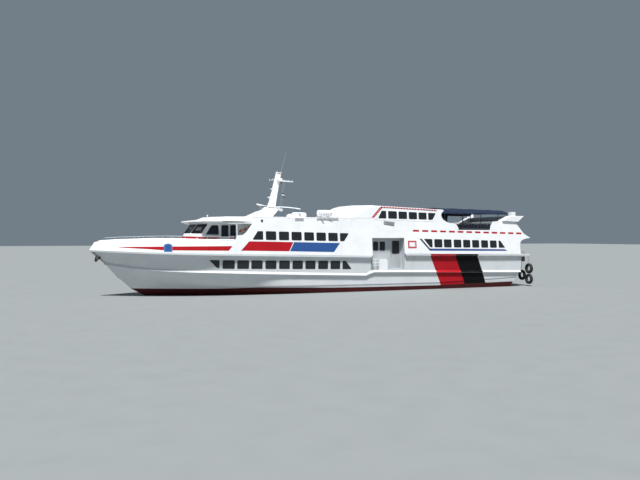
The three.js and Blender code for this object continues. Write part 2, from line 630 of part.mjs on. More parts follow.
function lobbyLining() {
  const outer = block(LOBBY_AFT_X - LINING + 1, LOBBY_FORE_X + LINING - 1, LOBBY_INNER_Y - LINING, 3180,
    LOBBY_FLOOR_Z + GAP, LOBBY_TOP_Z + LINING);
  const inner = block(LOBBY_AFT_X, LOBBY_FORE_X, LOBBY_INNER_Y, BEYOND, 0, LOBBY_TOP_Z);
  const doorway = block(LOBBY_DOOR.aft, LOBBY_DOOR.fore, 0, BEYOND, LOBBY_DOOR.sill, LOBBY_DOOR.head);
  return outer.subtract(inner).subtract(doorway);
}

function lobbyDoor() {
  return lappedDoor(LOBBY_DOOR, LOBBY_INNER_Y - LINING, -1, LOBBY_DOOR.aft - DOOR_LAP);
}

const GATE = { fore: LOBBY_FORE_X - 20, aft: -4230, y: 3080, top: 2530, locker: -3500 };

const GATE_TUBES_Z = [2530, 2270, 2010];
const GATE_TUBE_R = 22;

function lobbyGate() {
  const floor = LOBBY_FLOOR_Z + GAP;
  const { fore, aft, locker, y, top } = GATE;
  const tubes = GATE_TUBES_Z.map((z) => cylinder([fore, y, z], [locker - 50, y, z], GATE_TUBE_R, 8));
  const uprights = [fore, (fore + locker) / 2].map((x) =>
    cylinder([x, y, floor], [x, y, top], GATE_TUBE_R + 2, 8));
  const box = prism('y', [[aft, floor], [locker, floor], [locker, top + 20], [aft + 160, top + 20],
    [aft + 50, top - 40], [aft, top - 160]], y - 120, y + 60);
  return joined([...tubes, ...uprights, box]).subtract(
    block(LOBBY_FORE_X - GAP, BEYOND, 0, BEYOND, 0, BEYOND));
}

// Sun deck over the aft cabin, the bulkhead and door that close the cabin, and what stands on the deck
const SUN_DECK = { aft: -17000, fore: -9050 };

// Stretched across to meet the inside of both leaning sides
function betweenSides(outline) {
  return moved(prism('y', outline, -1, 1), (x, y, z) => [x, y * (sideY(z) - WALL - DECK_FIT), z]);
}

function sunDeck() {
  const { aft, fore } = SUN_DECK;
  const under = SUN_DECK_Z - SUN_DECK_T;
  return betweenSides([[aft, under], [fore, under], [fore, SUN_DECK_Z], [aft, SUN_DECK_Z]]);
}

const AFT_DOOR = { half: 450, sill: 2930, head: 4330 };

const BULKHEAD_X = -16960;
const BULKHEAD_T = 60;

function aftBulkhead() {
  const foot = deckZ(BULKHEAD_X + BULKHEAD_T) + 3;
  const head = SUN_DECK_Z - SUN_DECK_T - GAP;
  const [low, high] = [foot, head].map((z) => sideY(z) - WALL - DECK_FIT);
  const wall = prism('x', [[-low, foot], [low, foot], [high, head], [-high, head]], BULKHEAD_X,
    BULKHEAD_X + BULKHEAD_T);
  return wall.subtract(block(-2 * BEYOND, 0, -AFT_DOOR.half, AFT_DOOR.half, AFT_DOOR.sill, AFT_DOOR.head));
}

// A leaf that laps the aft face of a bulkhead, on a hinge barrel along its port edge
function aftFacingDoor({ half, sill, head }, bulkheadX) {
  const face = bulkheadX - DOOR_CLEARANCE;
  const [low, high, edge] = [sill - DOOR_LAP, head + DOOR_LAP, half + DOOR_LAP];
  const leaf = block(face - DOOR_T, face, -edge, edge, low, high);
  const barrelX = bulkheadX - BARREL_R - GAP;
  return leaf.add(cylinder([barrelX, edge, low], [barrelX, edge, high], BARREL_R, 12));
}

const CANOPY = { aft: -16300, fore: -9650, half: 2750 };
const CANOPY_POST_Y = 2650;
const CANOPY_UNDER = [[CANOPY.aft, 6340], [CANOPY.fore, 6330]];

function canopy() {
  return prism('y', [...CANOPY_UNDER, [CANOPY.fore, 6790], [-12000, 6770], [-14500, 6720], [CANOPY.aft, 6660]],
    -CANOPY.half, CANOPY.half);
}

const CANOPY_ROWS_X = [-9900, -11700, -13500, -15300];
const CANOPY_TUBE = { postR: 28, half: 25, depth: 50, end: 30, beamHalf: 20, beamDrop: 10 };

function canopyFrame() {
  const deck = SUN_DECK_Z + GAP;
  const { postR, half, depth, end, beamHalf, beamDrop } = CANOPY_TUBE;
  const underCanopy = (x) => along(CANOPY_UNDER, x) - GAP;
  const posts = CANOPY_ROWS_X.flatMap((x) => [-1, 1].map((side) =>
    cylinder([x, side * CANOPY_POST_Y, deck], [x, side * CANOPY_POST_Y, underCanopy(x) - 20], postR, 8)));
  const [aft, fore] = [CANOPY_ROWS_X[3] - end, CANOPY_ROWS_X[0] + end];
  const rails = [-1, 1].map((side) => prism('y', [[aft, underCanopy(aft) - depth],
    [fore, underCanopy(fore) - depth], [fore, underCanopy(fore)], [aft, underCanopy(aft)]],
    side * CANOPY_POST_Y - half, side * CANOPY_POST_Y + half));
  const beams = CANOPY_ROWS_X.map((x) => block(x - beamHalf, x + beamHalf, -CANOPY_POST_Y, CANOPY_POST_Y,
    underCanopy(x) - depth, underCanopy(x) - beamDrop));
  return joined([...posts, ...rails, ...beams]);
}

const DECK_RAIL = { aft: -14020, fore: -10960, foot: 4860, bars: [[5400, 26], [5220, 16], [5040, 16]], posts: 5,
  postR: 22, sides: 8 };

// Rail over the low sides of the sun deck
function sunDeckRail() {
  const y = sideY(5100) - WALL / 2;
  const { aft, fore, foot, bars, posts, postR, sides } = DECK_RAIL;
  const tubes = bars.map(([z, radius]) => cylinder([aft, y, z], [fore, y, z], radius, sides));
  const first = aft + 30;
  const pitch = (fore - aft - 60) / (posts - 1);
  const uprights = Array.from({ length: posts }, (_, i) => first + pitch * i).map((x) =>
    cylinder([x, y, foot + GAP], [x, y, bars[0][0]], postR, sides));
  return joined([...tubes, ...uprights]);
}

const SEATS = {
  middle: 1500,
  half: 700,
  beam: [-15300, -10700],
  beamHalf: 30,
  rows: [-11000, -12000, -13000, -14000, -15000],
  depth: 220,
  backT: 70,
  under: 290,
  top: 380,
  back: 820,
};

function sunDeckSeats(side) {
  const deck = SUN_DECK_Z + GAP;
  const { half, beamHalf, depth, backT, under, top, back } = SEATS;
  const middle = side * SEATS.middle;
  const beam = block(...SEATS.beam, middle - beamHalf, middle + beamHalf, deck, deck + under + 10);
  const rows = SEATS.rows.map((x) =>
    block(x - depth, x + depth, middle - half, middle + half, deck + under, deck + top).add(
      block(x - depth, x - depth + backT, middle - half, middle + half, deck + top - 10, deck + back)));
  return joined([beam, ...rows]);
}

// Wing across the stern with its two boxes
const WING_HALF = 3300;
const WING_TOP = [[-16150, 6085], [-17570, 6095]];
const WING_BOX = { aft: -16700, fore: -16270, y: 3030, half: 220, foot: 6070, top: 6430 };

function aftArch() {
  const wing = prism('y', [...WING_UNDER, ...WING_TOP], -WING_HALF, WING_HALF);
  const { aft, fore, y, half, foot, top } = WING_BOX;
  const boxes = [-y, y].map((middle) => block(aft, fore, middle - half, middle + half, foot, top));
  return joined([wing, ...boxes]);
}

// Mast pylon, mast with its yards, and the platforms beside them
const PLATFORM_T = 60;
const PYLON_HALF = 550;
const PYLON_TOP_Z = 6600;

function mastPylon() {
  return prism('y', [[6700, ON_ROOF_Z], [5300, 6400], [5150, PYLON_TOP_Z], [3900, PYLON_TOP_Z],
    [4200, 6200], [4600, ON_ROOF_Z]], -PYLON_HALF, PYLON_HALF);
}

// Its port edge as [x, y], with a tongue forward and a swept wing
function mastPlatform() {
  const port = [[5650, 230], [4900, 560], [4500, 620], [3250, 1720], [2920, 1900], [2850, 1780], [3900, 600],
    [3800, 330]];
  const starboard = port.slice().reverse().map(([x, y]) => [x, -y]);
  return prism('z', [...port, ...starboard], PYLON_TOP_Z + GAP, PYLON_TOP_Z + PLATFORM_T);
}

const MAST = { half: 170, foot: [4750, 4150], head: [3640, 4050], top: 9330 };
const YARD = { x: 3980, z: 8900, half: 2550, radius: 50 };
const LAMP_ARMS = { rows: [[4550, 8030], [4800, 7420]], fore: 80, aft: 500, half: 90, t: 30 };
const WHIP = { foot: [3800, 0, 9300], tip: [3350, 0, 11020], radius: 22, tipRadius: 10 };

function mast() {
  const foot = PYLON_TOP_Z + PLATFORM_T + GAP;
  const outline = [...MAST.foot.map((x) => [x, foot]), ...MAST.head.map((x) => [x, MAST.top])];
  const post = prism('y', outline, -MAST.half, MAST.half);
  const yard = cylinder([YARD.x, -YARD.half, YARD.z], [YARD.x, YARD.half, YARD.z], YARD.radius, 8);
  const { rows, fore, aft, half, t } = LAMP_ARMS;
  const arms = rows.map(([x, z]) => block(x - aft, x + fore, -half, half, z - t, z + t));
  const whip = cylinder(WHIP.foot, WHIP.tip, WHIP.radius, 6, WHIP.tipRadius);
  return joined([post, yard, ...arms, whip]);
}

// Things that stand on the roof
const ROOF_LOCKER = { aft: 2560, fore: 3560, inner: 900, outer: 1900, top: 6120 };
const CANISTER = { aft: 420, fore: 1680, y: 2720, z: 6110, radius: 245, saddles: [750, 1350], saddleHalf: 50,
  saddleReach: 230, saddleDrop: 100 };

function roofLocker() {
  const { aft, fore, inner, outer, top } = ROOF_LOCKER;
  return block(aft, fore, inner, outer, ON_ROOF_Z, top);
}

// Canister on two saddles at the edge of the saloon roof
function liferaft() {
  const { aft, fore, y, z, radius, saddleHalf, saddleReach, saddleDrop } = CANISTER;
  const drum = cylinder([aft, y, z], [fore, y, z], radius, 16);
  const saddles = CANISTER.saddles.map((x) =>
    block(x - saddleHalf, x + saddleHalf, y - saddleReach, y + saddleReach, ON_ROOF_Z, z - saddleDrop));
  return joined([drum, ...saddles]);
}

// Bow gear and stern fenders
const ANCHOR = {
  shank: [[17000, 0, 3100], [17600, 0, 2600]],
  shankR: 60,
  crown: [17540, 17680, -300, 300, 2530, 2650],
  fluke: [[17560, 2540], [17680, 2600], [17600, 2960], [17560, 2960]],
  flukeY: 260,
  flukeHalf: 30,
};

function anchor() {
  const shank = cylinder(...ANCHOR.shank, ANCHOR.shankR, 8);
  const { fluke, flukeY, flukeHalf } = ANCHOR;
  const flukes = [-flukeY, flukeY].map((y) => prism('y', fluke, y - flukeHalf, y + flukeHalf));
  return joined([shank, block(...ANCHOR.crown), ...flukes]).subtract(underHull);
}

// Tyres hung on a taut rope over the aft edge of the stern platform, the lowest first
const TYRE = { ring: 330, tube: 120, x: STERN_X - 135, ropeR: 18 };

function tyreFender(y, ...heights) {
  const rings = heights.map((z) => {
    const ring = new THREE.TorusGeometry(TYRE.ring, TYRE.tube, 10, 20);
    ring.rotateY(Math.PI / 2);
    ring.translate(TYRE.x, y, z);
    return toSolid(ring);
  });
  const onDeck = deckZ(STERN_X) + TYRE.ropeR + GAP;
  const corner = [STERN_X - TYRE.ropeR - 2, y, onDeck];
  const rope = [cylinder([TYRE.x, y, heights[0] + TYRE.ring], corner, TYRE.ropeR, 12),
    cylinder([corner[0] - 8, y, onDeck], [STERN_X + 300, y, onDeck], TYRE.ropeR, 12)];
  return joined([...rings, ...rope]).subtract(underHull);
}

const BOW_RAIL = { stem: 17525, height: 210, radius: 20, postR: 22, inset: 60, sunk: 60 };

function bowRail() {
  const { stem, height, radius, postR, inset, sunk } = BOW_RAIL;
  const port = STATIONS_X.filter((x) => x >= BOW_START_X && x < 17000).map((station) => {
    const share = (station - BOW_START_X) / (STEM_X - BOW_START_X);
    const x = BOW_START_X + inset + (stem - BOW_START_X) * share;
    return [x, (sideY(BULWARK_AFT_TOP_Z) - WALL / 2) * (1 - share ** BOW_FULLNESS), along(BULWARK_TOP_Z, x)];
  });
  const route = [...port, ...port.slice().reverse().map(([x, y, z]) => [x, -y, z])];
  const rail = route.slice(1).map((to, i) => {
    const [from, next] = [route[i], to].map(([x, y, z]) => [x, y, z + height]);
    return cylinder(from, next, radius, 8);
  });
  const posts = route.map(([x, y, z]) => cylinder([x, y, z - sunk], [x, y, z + height + 18], postR, 8));
  return joined([...rail, ...posts]).subtract(bulwark.translate([0, 0, GAP]));
}

const hullBody = hull();
const underHull = hullBody.translate([0, 0, -GAP]);
place('hull', hullBody, HULL_WHITE);
place('engine_room_cover', engineRoomCover(), GREY);
placePair('engine', engine(), ENGINE_GREEN);
placePair('propeller', propeller(), BRONZE);
placePair('shaft_bracket', shaftBracket(), ANTIFOUL);
placePair('rudder', rudder(), ANTIFOUL);
const bulwark = bowBulwark();
place('bow_bulwark', bulwark, WHITE);
place('bow_rail', bowRail(), STEEL);
placePair('forward_side', forwardSide(), WHITE);
placePair('aft_side', aftSide(), WHITE);
placePair('third_deck_side', thirdDeckSide(), WHITE);
place('third_deck_roof', thirdDeckRoof(), WHITE);
place('third_deck_front', thirdDeckFront(), WHITE);
place('third_deck_bulkhead', houseBulkhead(), WHITE);
place('third_deck_door', aftFacingDoor(HOUSE_DOOR, HOUSE_BULKHEAD.aft), GLASS);
place('upper_saloon_roof', upperSaloonRoof(), WHITE);
place('saloon_front', saloonFront(), WHITE);
place('wheelhouse_front', wheelhouseFront(), WHITE);
placePair('wheelhouse_side', wheelhouseSide(), WHITE);
placePair('wheelhouse_door', wheelhouseDoor(), WHITE);
place('wheelhouse_roof', wheelhouseRoof(), WHITE);
place('helm_console', helmConsole(), DARK);
place('helm_seat', helmSeat(), DARK);
placePair('lobby_lining', lobbyLining(), WHITE);
placePair('lobby_door', lobbyDoor(), WHITE);
placePair('lobby_gate', lobbyGate(), WHITE);
place('sun_deck', sunDeck(), GREY);
place('aft_bulkhead', aftBulkhead(), WHITE);
place('aft_door', aftFacingDoor(AFT_DOOR, BULKHEAD_X), GLASS);
place('canopy', canopy(), NAVY);
place('canopy_frame', canopyFrame(), STEEL);
placePair('sun_deck_rail', sunDeckRail(), STEEL);
place('seats_port', sunDeckSeats(1), NAVY);
place('seats_starboard', sunDeckSeats(-1), NAVY);
place('aft_arch', aftArch(), WHITE);
place('mast_pylon', mastPylon(), WHITE);
place('mast_platform', mastPlatform(), WHITE);
place('mast', mast(), WHITE);
place('roof_locker', roofLocker(), WHITE);
placePair('liferaft', liferaft(), WHITE);
place('anchor', anchor(), DARK);
place('tyre_fender_upper', tyreFender(2240, 920), RUBBER);
place('tyre_fender_lower', tyreFender(3150, 620, 1540), RUBBER);

export default ferry;
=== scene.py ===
from collections import namedtuple
from math import atan, copysign, cos, dist, pi, radians, sin, tau

import bmesh
import bpy
from mathutils import Matrix, Vector


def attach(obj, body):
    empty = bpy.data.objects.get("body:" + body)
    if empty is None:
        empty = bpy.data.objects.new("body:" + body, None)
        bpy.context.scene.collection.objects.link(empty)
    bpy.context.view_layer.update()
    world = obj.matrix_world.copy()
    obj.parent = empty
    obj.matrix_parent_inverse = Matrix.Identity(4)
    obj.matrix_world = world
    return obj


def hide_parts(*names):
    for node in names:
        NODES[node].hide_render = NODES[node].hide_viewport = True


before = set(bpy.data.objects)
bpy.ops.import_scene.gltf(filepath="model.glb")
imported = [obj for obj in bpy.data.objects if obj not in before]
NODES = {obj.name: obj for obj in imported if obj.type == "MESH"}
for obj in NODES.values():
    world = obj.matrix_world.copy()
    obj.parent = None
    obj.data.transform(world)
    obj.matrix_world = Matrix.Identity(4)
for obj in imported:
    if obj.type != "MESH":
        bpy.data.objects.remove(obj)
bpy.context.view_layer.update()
SIDES = ("port", "starboard")


def linked(name, data):
    made = bpy.data.objects.new(name, data)
    bpy.context.scene.collection.objects.link(made)
    return made


def aimed(made, way):
    made.rotation_mode = "QUATERNION"
    made.rotation_quaternion = Vector(way).to_track_quat("-Z", "Y")


# Camera at the photograph's view, with the horizon a little above the middle
PICTURE_PX = 640
FOCUS_PX = 680
HORIZON_PX = 3
SENSOR_MM = 36
CAMERA_AT = (21.83, 50.76, 4.28)
LOOK = radians(23)
DOWN = atan(HORIZON_PX / FOCUS_PX)
FAR = 1000
view = bpy.data.cameras.new("camera")
view.lens = SENSOR_MM * FOCUS_PX / PICTURE_PX
view.sensor_width = SENSOR_MM
view.clip_end = FAR
camera = linked("camera", view)
camera.location = CAMERA_AT
aimed(camera, (-sin(LOOK) * cos(DOWN), -cos(LOOK) * cos(DOWN), -sin(DOWN)))
bpy.context.scene.camera = camera

# High hazy sun and a pale sky
SUN = {"energy": 6.0, "degrees": 7, "way": (-0.25, -0.42, -1.0)}
SKY = {"Color": (0.6, 0.75, 0.88, 1), "Strength": 0.28}
sun = bpy.data.lights.new("key_light", "SUN")
sun.energy = SUN["energy"]
sun.angle = radians(SUN["degrees"])
aimed(linked("key_light", sun), SUN["way"])
world = bpy.data.worlds.new("world")
bpy.context.scene.world = world
world.use_nodes = True
for socket, value in SKY.items():
    world.node_tree.nodes["Background"].inputs[socket].default_value = value
bpy.context.scene.view_settings.view_transform = "Standard"

# Procedural materials, in the ship's own metres. Most of a noise's values lie between low and high
NOISE_LOW, NOISE_HIGH = 0.3, 0.7
NOISE_ROUGHNESS = 0.6
RELIEF_DEPTH = 0.002


def node(tree, kind, links, values):
    made = tree.nodes.new(kind)
    for socket, value in values.items():
        made.inputs[socket].default_value = value
    for socket, source in links.items():
        tree.links.new(source, made.inputs[socket])
    return made


def noise(tree, place, scale, detail=5):
    values = {"Scale": scale, "Detail": detail, "Roughness": NOISE_ROUGHNESS}
    return node(tree, "ShaderNodeTexNoise", {"Vector": place}, values).outputs["Fac"]


def ramp(tree, value, stops):
    made = node(tree, "ShaderNodeValToRGB", {"Fac": value}, {})
    for element, (position, colour) in zip(made.color_ramp.elements, stops):
        element.position = position
        element.color = (*colour, 1)
    return made.outputs["Color"]


def spread(tree, value, low, high):
    values = {"From Min": NOISE_LOW, "From Max": NOISE_HIGH, "To Min": low, "To Max": high}
    return node(tree, "ShaderNodeMapRange", {"Value": value}, values).outputs["Result"]


def stained(tree, base, stain, factor):
    made = tree.nodes.new("ShaderNodeMix")
    made.data_type = "RGBA"
    share_socket, base_socket, stain_socket, result_socket = 0, 6, 7, 2
    made.inputs[stain_socket].default_value = (*stain, 1)
    tree.links.new(factor, made.inputs[share_socket])
    tree.links.new(base, made.inputs[base_socket])
    return made.outputs[result_socket]


def finish(name, colour, rough, metal=0.0, shade=0.9, scale=0.8, stain=None, streaks=(3, 3, 0.15),
           stain_from=0.58, grain=90, bump=0.03, coat=0.0, weave=None, gloss=0.5, clear=0.0):
    made = bpy.data.materials.new(name)
    made.use_nodes = True
    made.diffuse_color = (*colour, 1)
    tree = made.node_tree
    shader = tree.nodes["Principled BSDF"]
    for socket, value in (("Metallic", metal), ("Coat Weight", coat), ("Transmission Weight", clear),
                          ("Specular IOR Level", gloss)):
        shader.inputs[socket].default_value = value
    place = tree.nodes.new("ShaderNodeTexCoord").outputs["Object"]
    broad = noise(tree, place, scale)
    base = ramp(tree, broad, [(NOISE_LOW, [part * shade for part in colour]), (0.65, colour)])
    if stain:
        long = node(tree, "ShaderNodeMapping", {"Vector": place}, {"Scale": streaks}).outputs["Vector"]
        share = ramp(tree, noise(tree, long, 1.0, 8), [(stain_from, (0, 0, 0)), (0.85, (0.5, 0.5, 0.5))])
        base = stained(tree, base, stain, share)
    tree.links.new(base, shader.inputs["Base Color"])
    tree.links.new(spread(tree, broad, rough * 0.85, min(1, rough * 1.2)), shader.inputs["Roughness"])
    fine = noise(tree, place, grain, 3)
    if weave:
        threads = {"Scale": weave, "Distortion": 0.6}
        fine = node(tree, "ShaderNodeTexWave", {"Vector": place}, threads).outputs["Fac"]
    relief = node(tree, "ShaderNodeBump", {"Height": fine}, {"Strength": bump * 4, "Distance": RELIEF_DEPTH})
    tree.links.new(relief.outputs["Normal"], shader.inputs["Normal"])
    return made


RUST = (0.36, 0.2, 0.1)
GRIME = (0.5, 0.5, 0.47)
WHITE = finish("white_gloss", (0.86, 0.87, 0.88), 0.32, stain=GRIME, stain_from=0.62, coat=0.15)
# The hull's white is greyer and bluer than the superstructure's white. That difference is painted shade and
# painted sea reflection. Its streaks are real dirt.
HULL_WHITE_PAINTED_SHADE = finish("hull_white_painted_shade", (0.66, 0.69, 0.71), 0.38, shade=0.92, stain=(0.5, 0.47, 0.42),
                    stain_from=0.6, coat=0.1)
BOTTOM = finish("boot_top_red", (0.08, 0.012, 0.013), 0.6, shade=0.75, stain=(0.09, 0.06, 0.05),
                streaks=(1.5, 1.5, 0.6), gloss=0.2)
RED = finish("stripe_red", (0.42, 0.01, 0.018), 0.5, gloss=0.12)
BLACK = finish("stripe_black", (0.005, 0.006, 0.007), 0.5, shade=0.8, gloss=0.1)
BLUE = finish("stripe_blue", (0.03, 0.09, 0.28), 0.5, gloss=0.15)
GREEN = finish("stripe_green", (0.02, 0.05, 0.06), 0.35)
LIGHT_BLUE = finish("panel_blue", (0.1, 0.2, 0.42), 0.35, shade=0.8, scale=3)
PINK = finish("trim_pink", (0.75, 0.42, 0.46), 0.4)
DECK = finish("deck_grey", (0.42, 0.46, 0.47), 0.75, shade=0.85, scale=2, grain=400, bump=0.12, stain=GRIME)
GLASS = finish("tinted_glass", (0.02, 0.025, 0.03), 0.08, shade=0.8, scale=1.5, bump=0.004, gloss=0.3)
WHEEL_GLASS = finish("wheelhouse_glass", (0.016, 0.024, 0.042), 0.04, scale=1.5, bump=0.002, gloss=0.35,
                     clear=0.18)
RUBBER = finish("rubber", (0.018, 0.018, 0.02), 0.72, shade=0.7, scale=6, grain=160, bump=0.1)
STEEL = finish("stainless_tube", (0.72, 0.74, 0.76), 0.28, metal=0.95, scale=6, grain=200)
DARK = finish("dark_fitting", (0.03, 0.034, 0.04), 0.45, shade=0.75, scale=4)
GREY = finish("shade_grey", (0.4, 0.43, 0.45), 0.5, scale=3)
# Lobby lining and doors: this grey, used in place of their white, is painted shade of the recess. The streaks
# are real dirt.
LOBBY = finish("lobby_grey_painted_shade", (0.5, 0.53, 0.55), 0.5, stain=GRIME, stain_from=0.62)
CLOTH = finish("navy_awning", (0.014, 0.024, 0.05), 0.85, shade=0.72, scale=2.5, weave=220, bump=0.12,
               stain=(0.035, 0.05, 0.085), streaks=(2, 2, 2), gloss=0.2)
BRONZE = finish("bronze", (0.6, 0.36, 0.13), 0.35, metal=0.9, shade=0.75, scale=8)
IRON = finish("cast_iron", (0.03, 0.028, 0.027), 0.6, metal=0.4, stain=RUST, streaks=(5, 5, 3), bump=0.15)
ENGINE = finish("engine_green", (0.07, 0.16, 0.1), 0.5)
SEAT = finish("seat_plastic", (0.04, 0.07, 0.2), 0.45, scale=5, bump=0.06)
PALE_GREY = finish("pale_grey", (0.6, 0.62, 0.64), 0.45, shade=0.85, scale=3)
DARK_TUBE = finish("dark_tube", (0.05, 0.055, 0.065), 0.4, metal=0.5, shade=0.8, scale=6)
PALE_CLOTH = finish("pale_cloth", (0.7, 0.7, 0.72), 0.85, weave=300, bump=0.1)
LEATHER = finish("chair_leather", (0.035, 0.035, 0.04), 0.5, shade=0.8, scale=14, grain=260, bump=0.2)
ROPE = finish("rope", (0.55, 0.5, 0.38), 0.85, shade=0.8, scale=8, weave=160, bump=0.3)
ORANGE = finish("life_orange", (0.85, 0.16, 0.03), 0.55, scale=6)
FLOOR = finish("floor", (0.23, 0.245, 0.245), 0.8, shade=0.98, bump=0.0)

# Floor at the waterline
FLOOR_SIZE = 600
bpy.ops.mesh.primitive_plane_add(size=FLOOR_SIZE)
floor = bpy.context.object
floor.name = "floor"
floor.data.materials.append(FLOOR)


# Shapes gathered as faces of one piece. A mark is the place of a face's material in the piece's list
MITRE_LIMIT = 0.35
EDGE_SHARE = 0.45
UPRIGHT = 0.05
POINT_RADIUS = 1e-4


def shares(steps):
    return [k / steps for k in range(steps + 1)]


def circle(steps):
    return [tau * k / steps for k in range(steps)]


def between(a, b, share):
    return a + (b - a) * share


def turned(across, over, angle):
    return across * cos(angle) + over * sin(angle)


def inset(outline, width):
    count = len(outline)
    area = sum(a[0] * b[1] - b[0] * a[1] for a, b in zip(outline, outline[1:] + outline[:1]))
    turn = 1 if area > 0 else -1
    made = []
    for i, here in enumerate(outline):
        before = Vector(here) - Vector(outline[i - 1])
        after = Vector(outline[(i + 1) % count]) - Vector(here)
        normals = [Vector((-way.y, way.x)).normalized() * turn for way in (before, after)]
        middle = (normals[0] + normals[1]).normalized()
        reach = width / max(MITRE_LIMIT, middle.dot(normals[0]))
        made.append(tuple(Vector(here) + middle * reach))
    return made


def rounded(corners, radius, steps=5):
    made = []
    for i, corner in enumerate(corners):
        corner = Vector(corner)
        ways = [Vector(corners[i - 1]) - corner, Vector(corners[(i + 1) % len(corners)]) - corner]
        cut = min(radius, min(way.length for way in ways) * EDGE_SHARE)
        start, end = [corner + way.normalized() * cut for way in ways]
        made += [tuple(start * (1 - t) ** 2 + corner * 2 * t * (1 - t) + end * t * t) for t in shares(steps)]
    return made


def rectangle(left, right, low, high):
    return [(left, low), (right, low), (right, high), (left, high)]


def both_halves(half, middle=0):
    return half + [(2 * middle - a, b) for a, b in reversed(half)]


def flipped(points):
    return [Vector((p[0], -p[1], p[2])) for p in points]


class Form:
    def __init__(self):
        self.points, self.faces, self.marks = [], [], []

    def box(self, low, high, bevel=0.01, mark=0):
        corners = {}
        for code in range(8):
            side = [code >> axis & 1 for axis in range(3)]
            inner = [(high[k] - bevel) if side[k] else (low[k] + bevel) for k in range(3)]
            for axis in range(3):
                corners[code, axis] = len(self.points)
                point = [(low, high)[side[k]][k] if k == axis else inner[k] for k in range(3)]
                self.points.append(Vector(point))
        faces = [[corners[code, axis] for axis in range(3)] for code in range(8)]
        for axis in range(3):
            b, c = [k for k in range(3) if k != axis]
            for base in (0, 1 << axis):
                ring = [base, base | 1 << b, base | 1 << b | 1 << c, base | 1 << c]
                faces.append([corners[code, axis] for code in ring])
            for code in (0, 1 << b, 1 << c, 1 << b | 1 << c):
                other = code | 1 << axis
                faces.append([corners[code, b], corners[other, b], corners[other, c], corners[code, c]])
        self.faces += faces
        self.marks += [mark] * len(faces)
        return self

    def loft(self, rings, ends=True, wrap=False, mark=0, marks=None):
        count = len(rings[0])
        first = len(self.points)
        self.points += [Vector(point) for ring in rings for point in ring]
        for row in range(len(rings) if wrap else len(rings) - 1):
            low, high = first + row * count, first + (row + 1) % len(rings) * count
            turns = [(i, (i + 1) % count) for i in range(count)]
            self.faces += [[low + i, low + j, high + j, high + i] for i, j in turns]
            self.marks += marks or [mark] * count
        if ends and not wrap:
            tail = first + (len(rings) - 1) * count
            self.faces += [list(range(first, first + count)), list(range(tail, tail + count))]
            self.marks += [mark, mark]
        return self

    def tube(self, route, radius, sides=10, mark=0, end_radius=None):
        route = [Vector(point) for point in route]
        end_radius = radius if end_radius is None else end_radius
        rings = []
        for i, point in enumerate(route):
            way = (route[min(i + 1, len(route) - 1)] - route[max(i - 1, 0)]).normalized()
            across = way.cross(Vector((0, 0, 1)))
            if across.length < UPRIGHT:
                across = way.cross(Vector((0, 1, 0)))
            across.normalize()
            over = across.cross(way).normalized()
            size = between(radius, end_radius, i / (len(route) - 1))
            rings.append([point + turned(across, over, a) * size for a in circle(sides)])
        return self.loft(rings, mark=mark)

    def slab(self, outline, place, low, high, bevel=0.0, mark=0, foot=0.0):
        levels = [(outline, low + foot), (outline, high - bevel)]
        if foot:
            levels.insert(0, (inset(outline, foot), low))
        if bevel:
            levels.append((inset(outline, bevel), high))
        return self.loft([[place(a, b, level) for a, b in line] for line, level in levels], mark=mark)

    def solid(self, outline, place, low, high, bevel=0.02, mark=0):
        return self.slab(outline, place, low, high, bevel, mark, foot=bevel)

    def lathe(self, profile, foot, axis=(0, 0, 1), sides=24, mark=0):
        axis = Vector(axis).normalized()
        across = axis.orthogonal().normalized()
        over = axis.cross(across)
        rings = [[Vector(foot) + axis * rise + turned(across, over, a) * max(radius, POINT_RADIUS)
                  for a in circle(sides)] for rise, radius in profile]
        return self.loft(rings, mark=mark)

    def grid(self, layers, marks=None):
        """Closes two layers of rows of points into one thin cloth; marks colours its columns."""
        rows, width = len(layers[0]), len(layers[0][0])
        first, back = len(self.points), rows * width
        self.points += [Vector(point) for layer in layers for row in layer for point in row]
        faces = []
        for i in range(rows - 1):
            for j in range(width - 1):
                a = first + i * width + j
                mark = marks[j] if marks else 0
                faces.append(([a, a + 1, a + width + 1, a + width], mark))
                faces.append(([back + k for k in (a, a + width, a + width + 1, a + 1)], mark))
        last = (rows - 1) * width
        rim = [*range(width), *range(2 * width - 1, rows * width, width)]
        rim += [*range(last + width - 2, last - 1, -1), *range(last - width, 0, -width)]
        for a, b in zip(rim, rim[1:] + rim[:1]):
            faces.append(([first + k for k in (a, b, b + back, a + back)], 0))
        self.faces += [face for face, _ in faces]
        self.marks += [mark for _, mark in faces]
        return self

    def mirrored(self):
        made = Form()
        made.points = flipped(self.points)
        made.faces, made.marks = self.faces, self.marks
        return made


def mesh_of(name, form, materials):
    mesh = bpy.data.meshes.new(name)
    mesh.from_pydata(form.points, [], form.faces)
    for material in materials:
        mesh.materials.append(material)
    mesh.polygons.foreach_set("material_index", form.marks)
    shell = bmesh.new()
    shell.from_mesh(mesh)
    bmesh.ops.recalc_face_normals(shell, faces=shell.faces)
    shell.to_mesh(mesh)
    shell.free()
    return mesh


def placed(name, mesh, body, replaces, smooth):
    mesh.shade_smooth()
    mesh.set_sharp_from_angle(angle=radians(smooth))
    made = linked(name, mesh)
    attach(made, body)
    if replaces:
        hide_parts(*replaces)
    return made


def piece(name, form, materials, body="ship", replaces=(), smooth=40):
    return placed(name, mesh_of(name, form, materials), body, replaces, smooth)


def pair(name, form, materials, body="ship", replaces=(), smooth=40):
    for side, shape in zip(SIDES, (form, form.mirrored())):
        riding = body if body == "ship" else f"{body}_{side}"
        nodes = [f"{node}_{side}" for node in replaces]
        piece(f"{name}_{side}", shape, materials, riding, nodes, smooth)


MERGE = 2e-4
FLAT_ANGLE = radians(0.6)
SHARP_DEGREES = 28


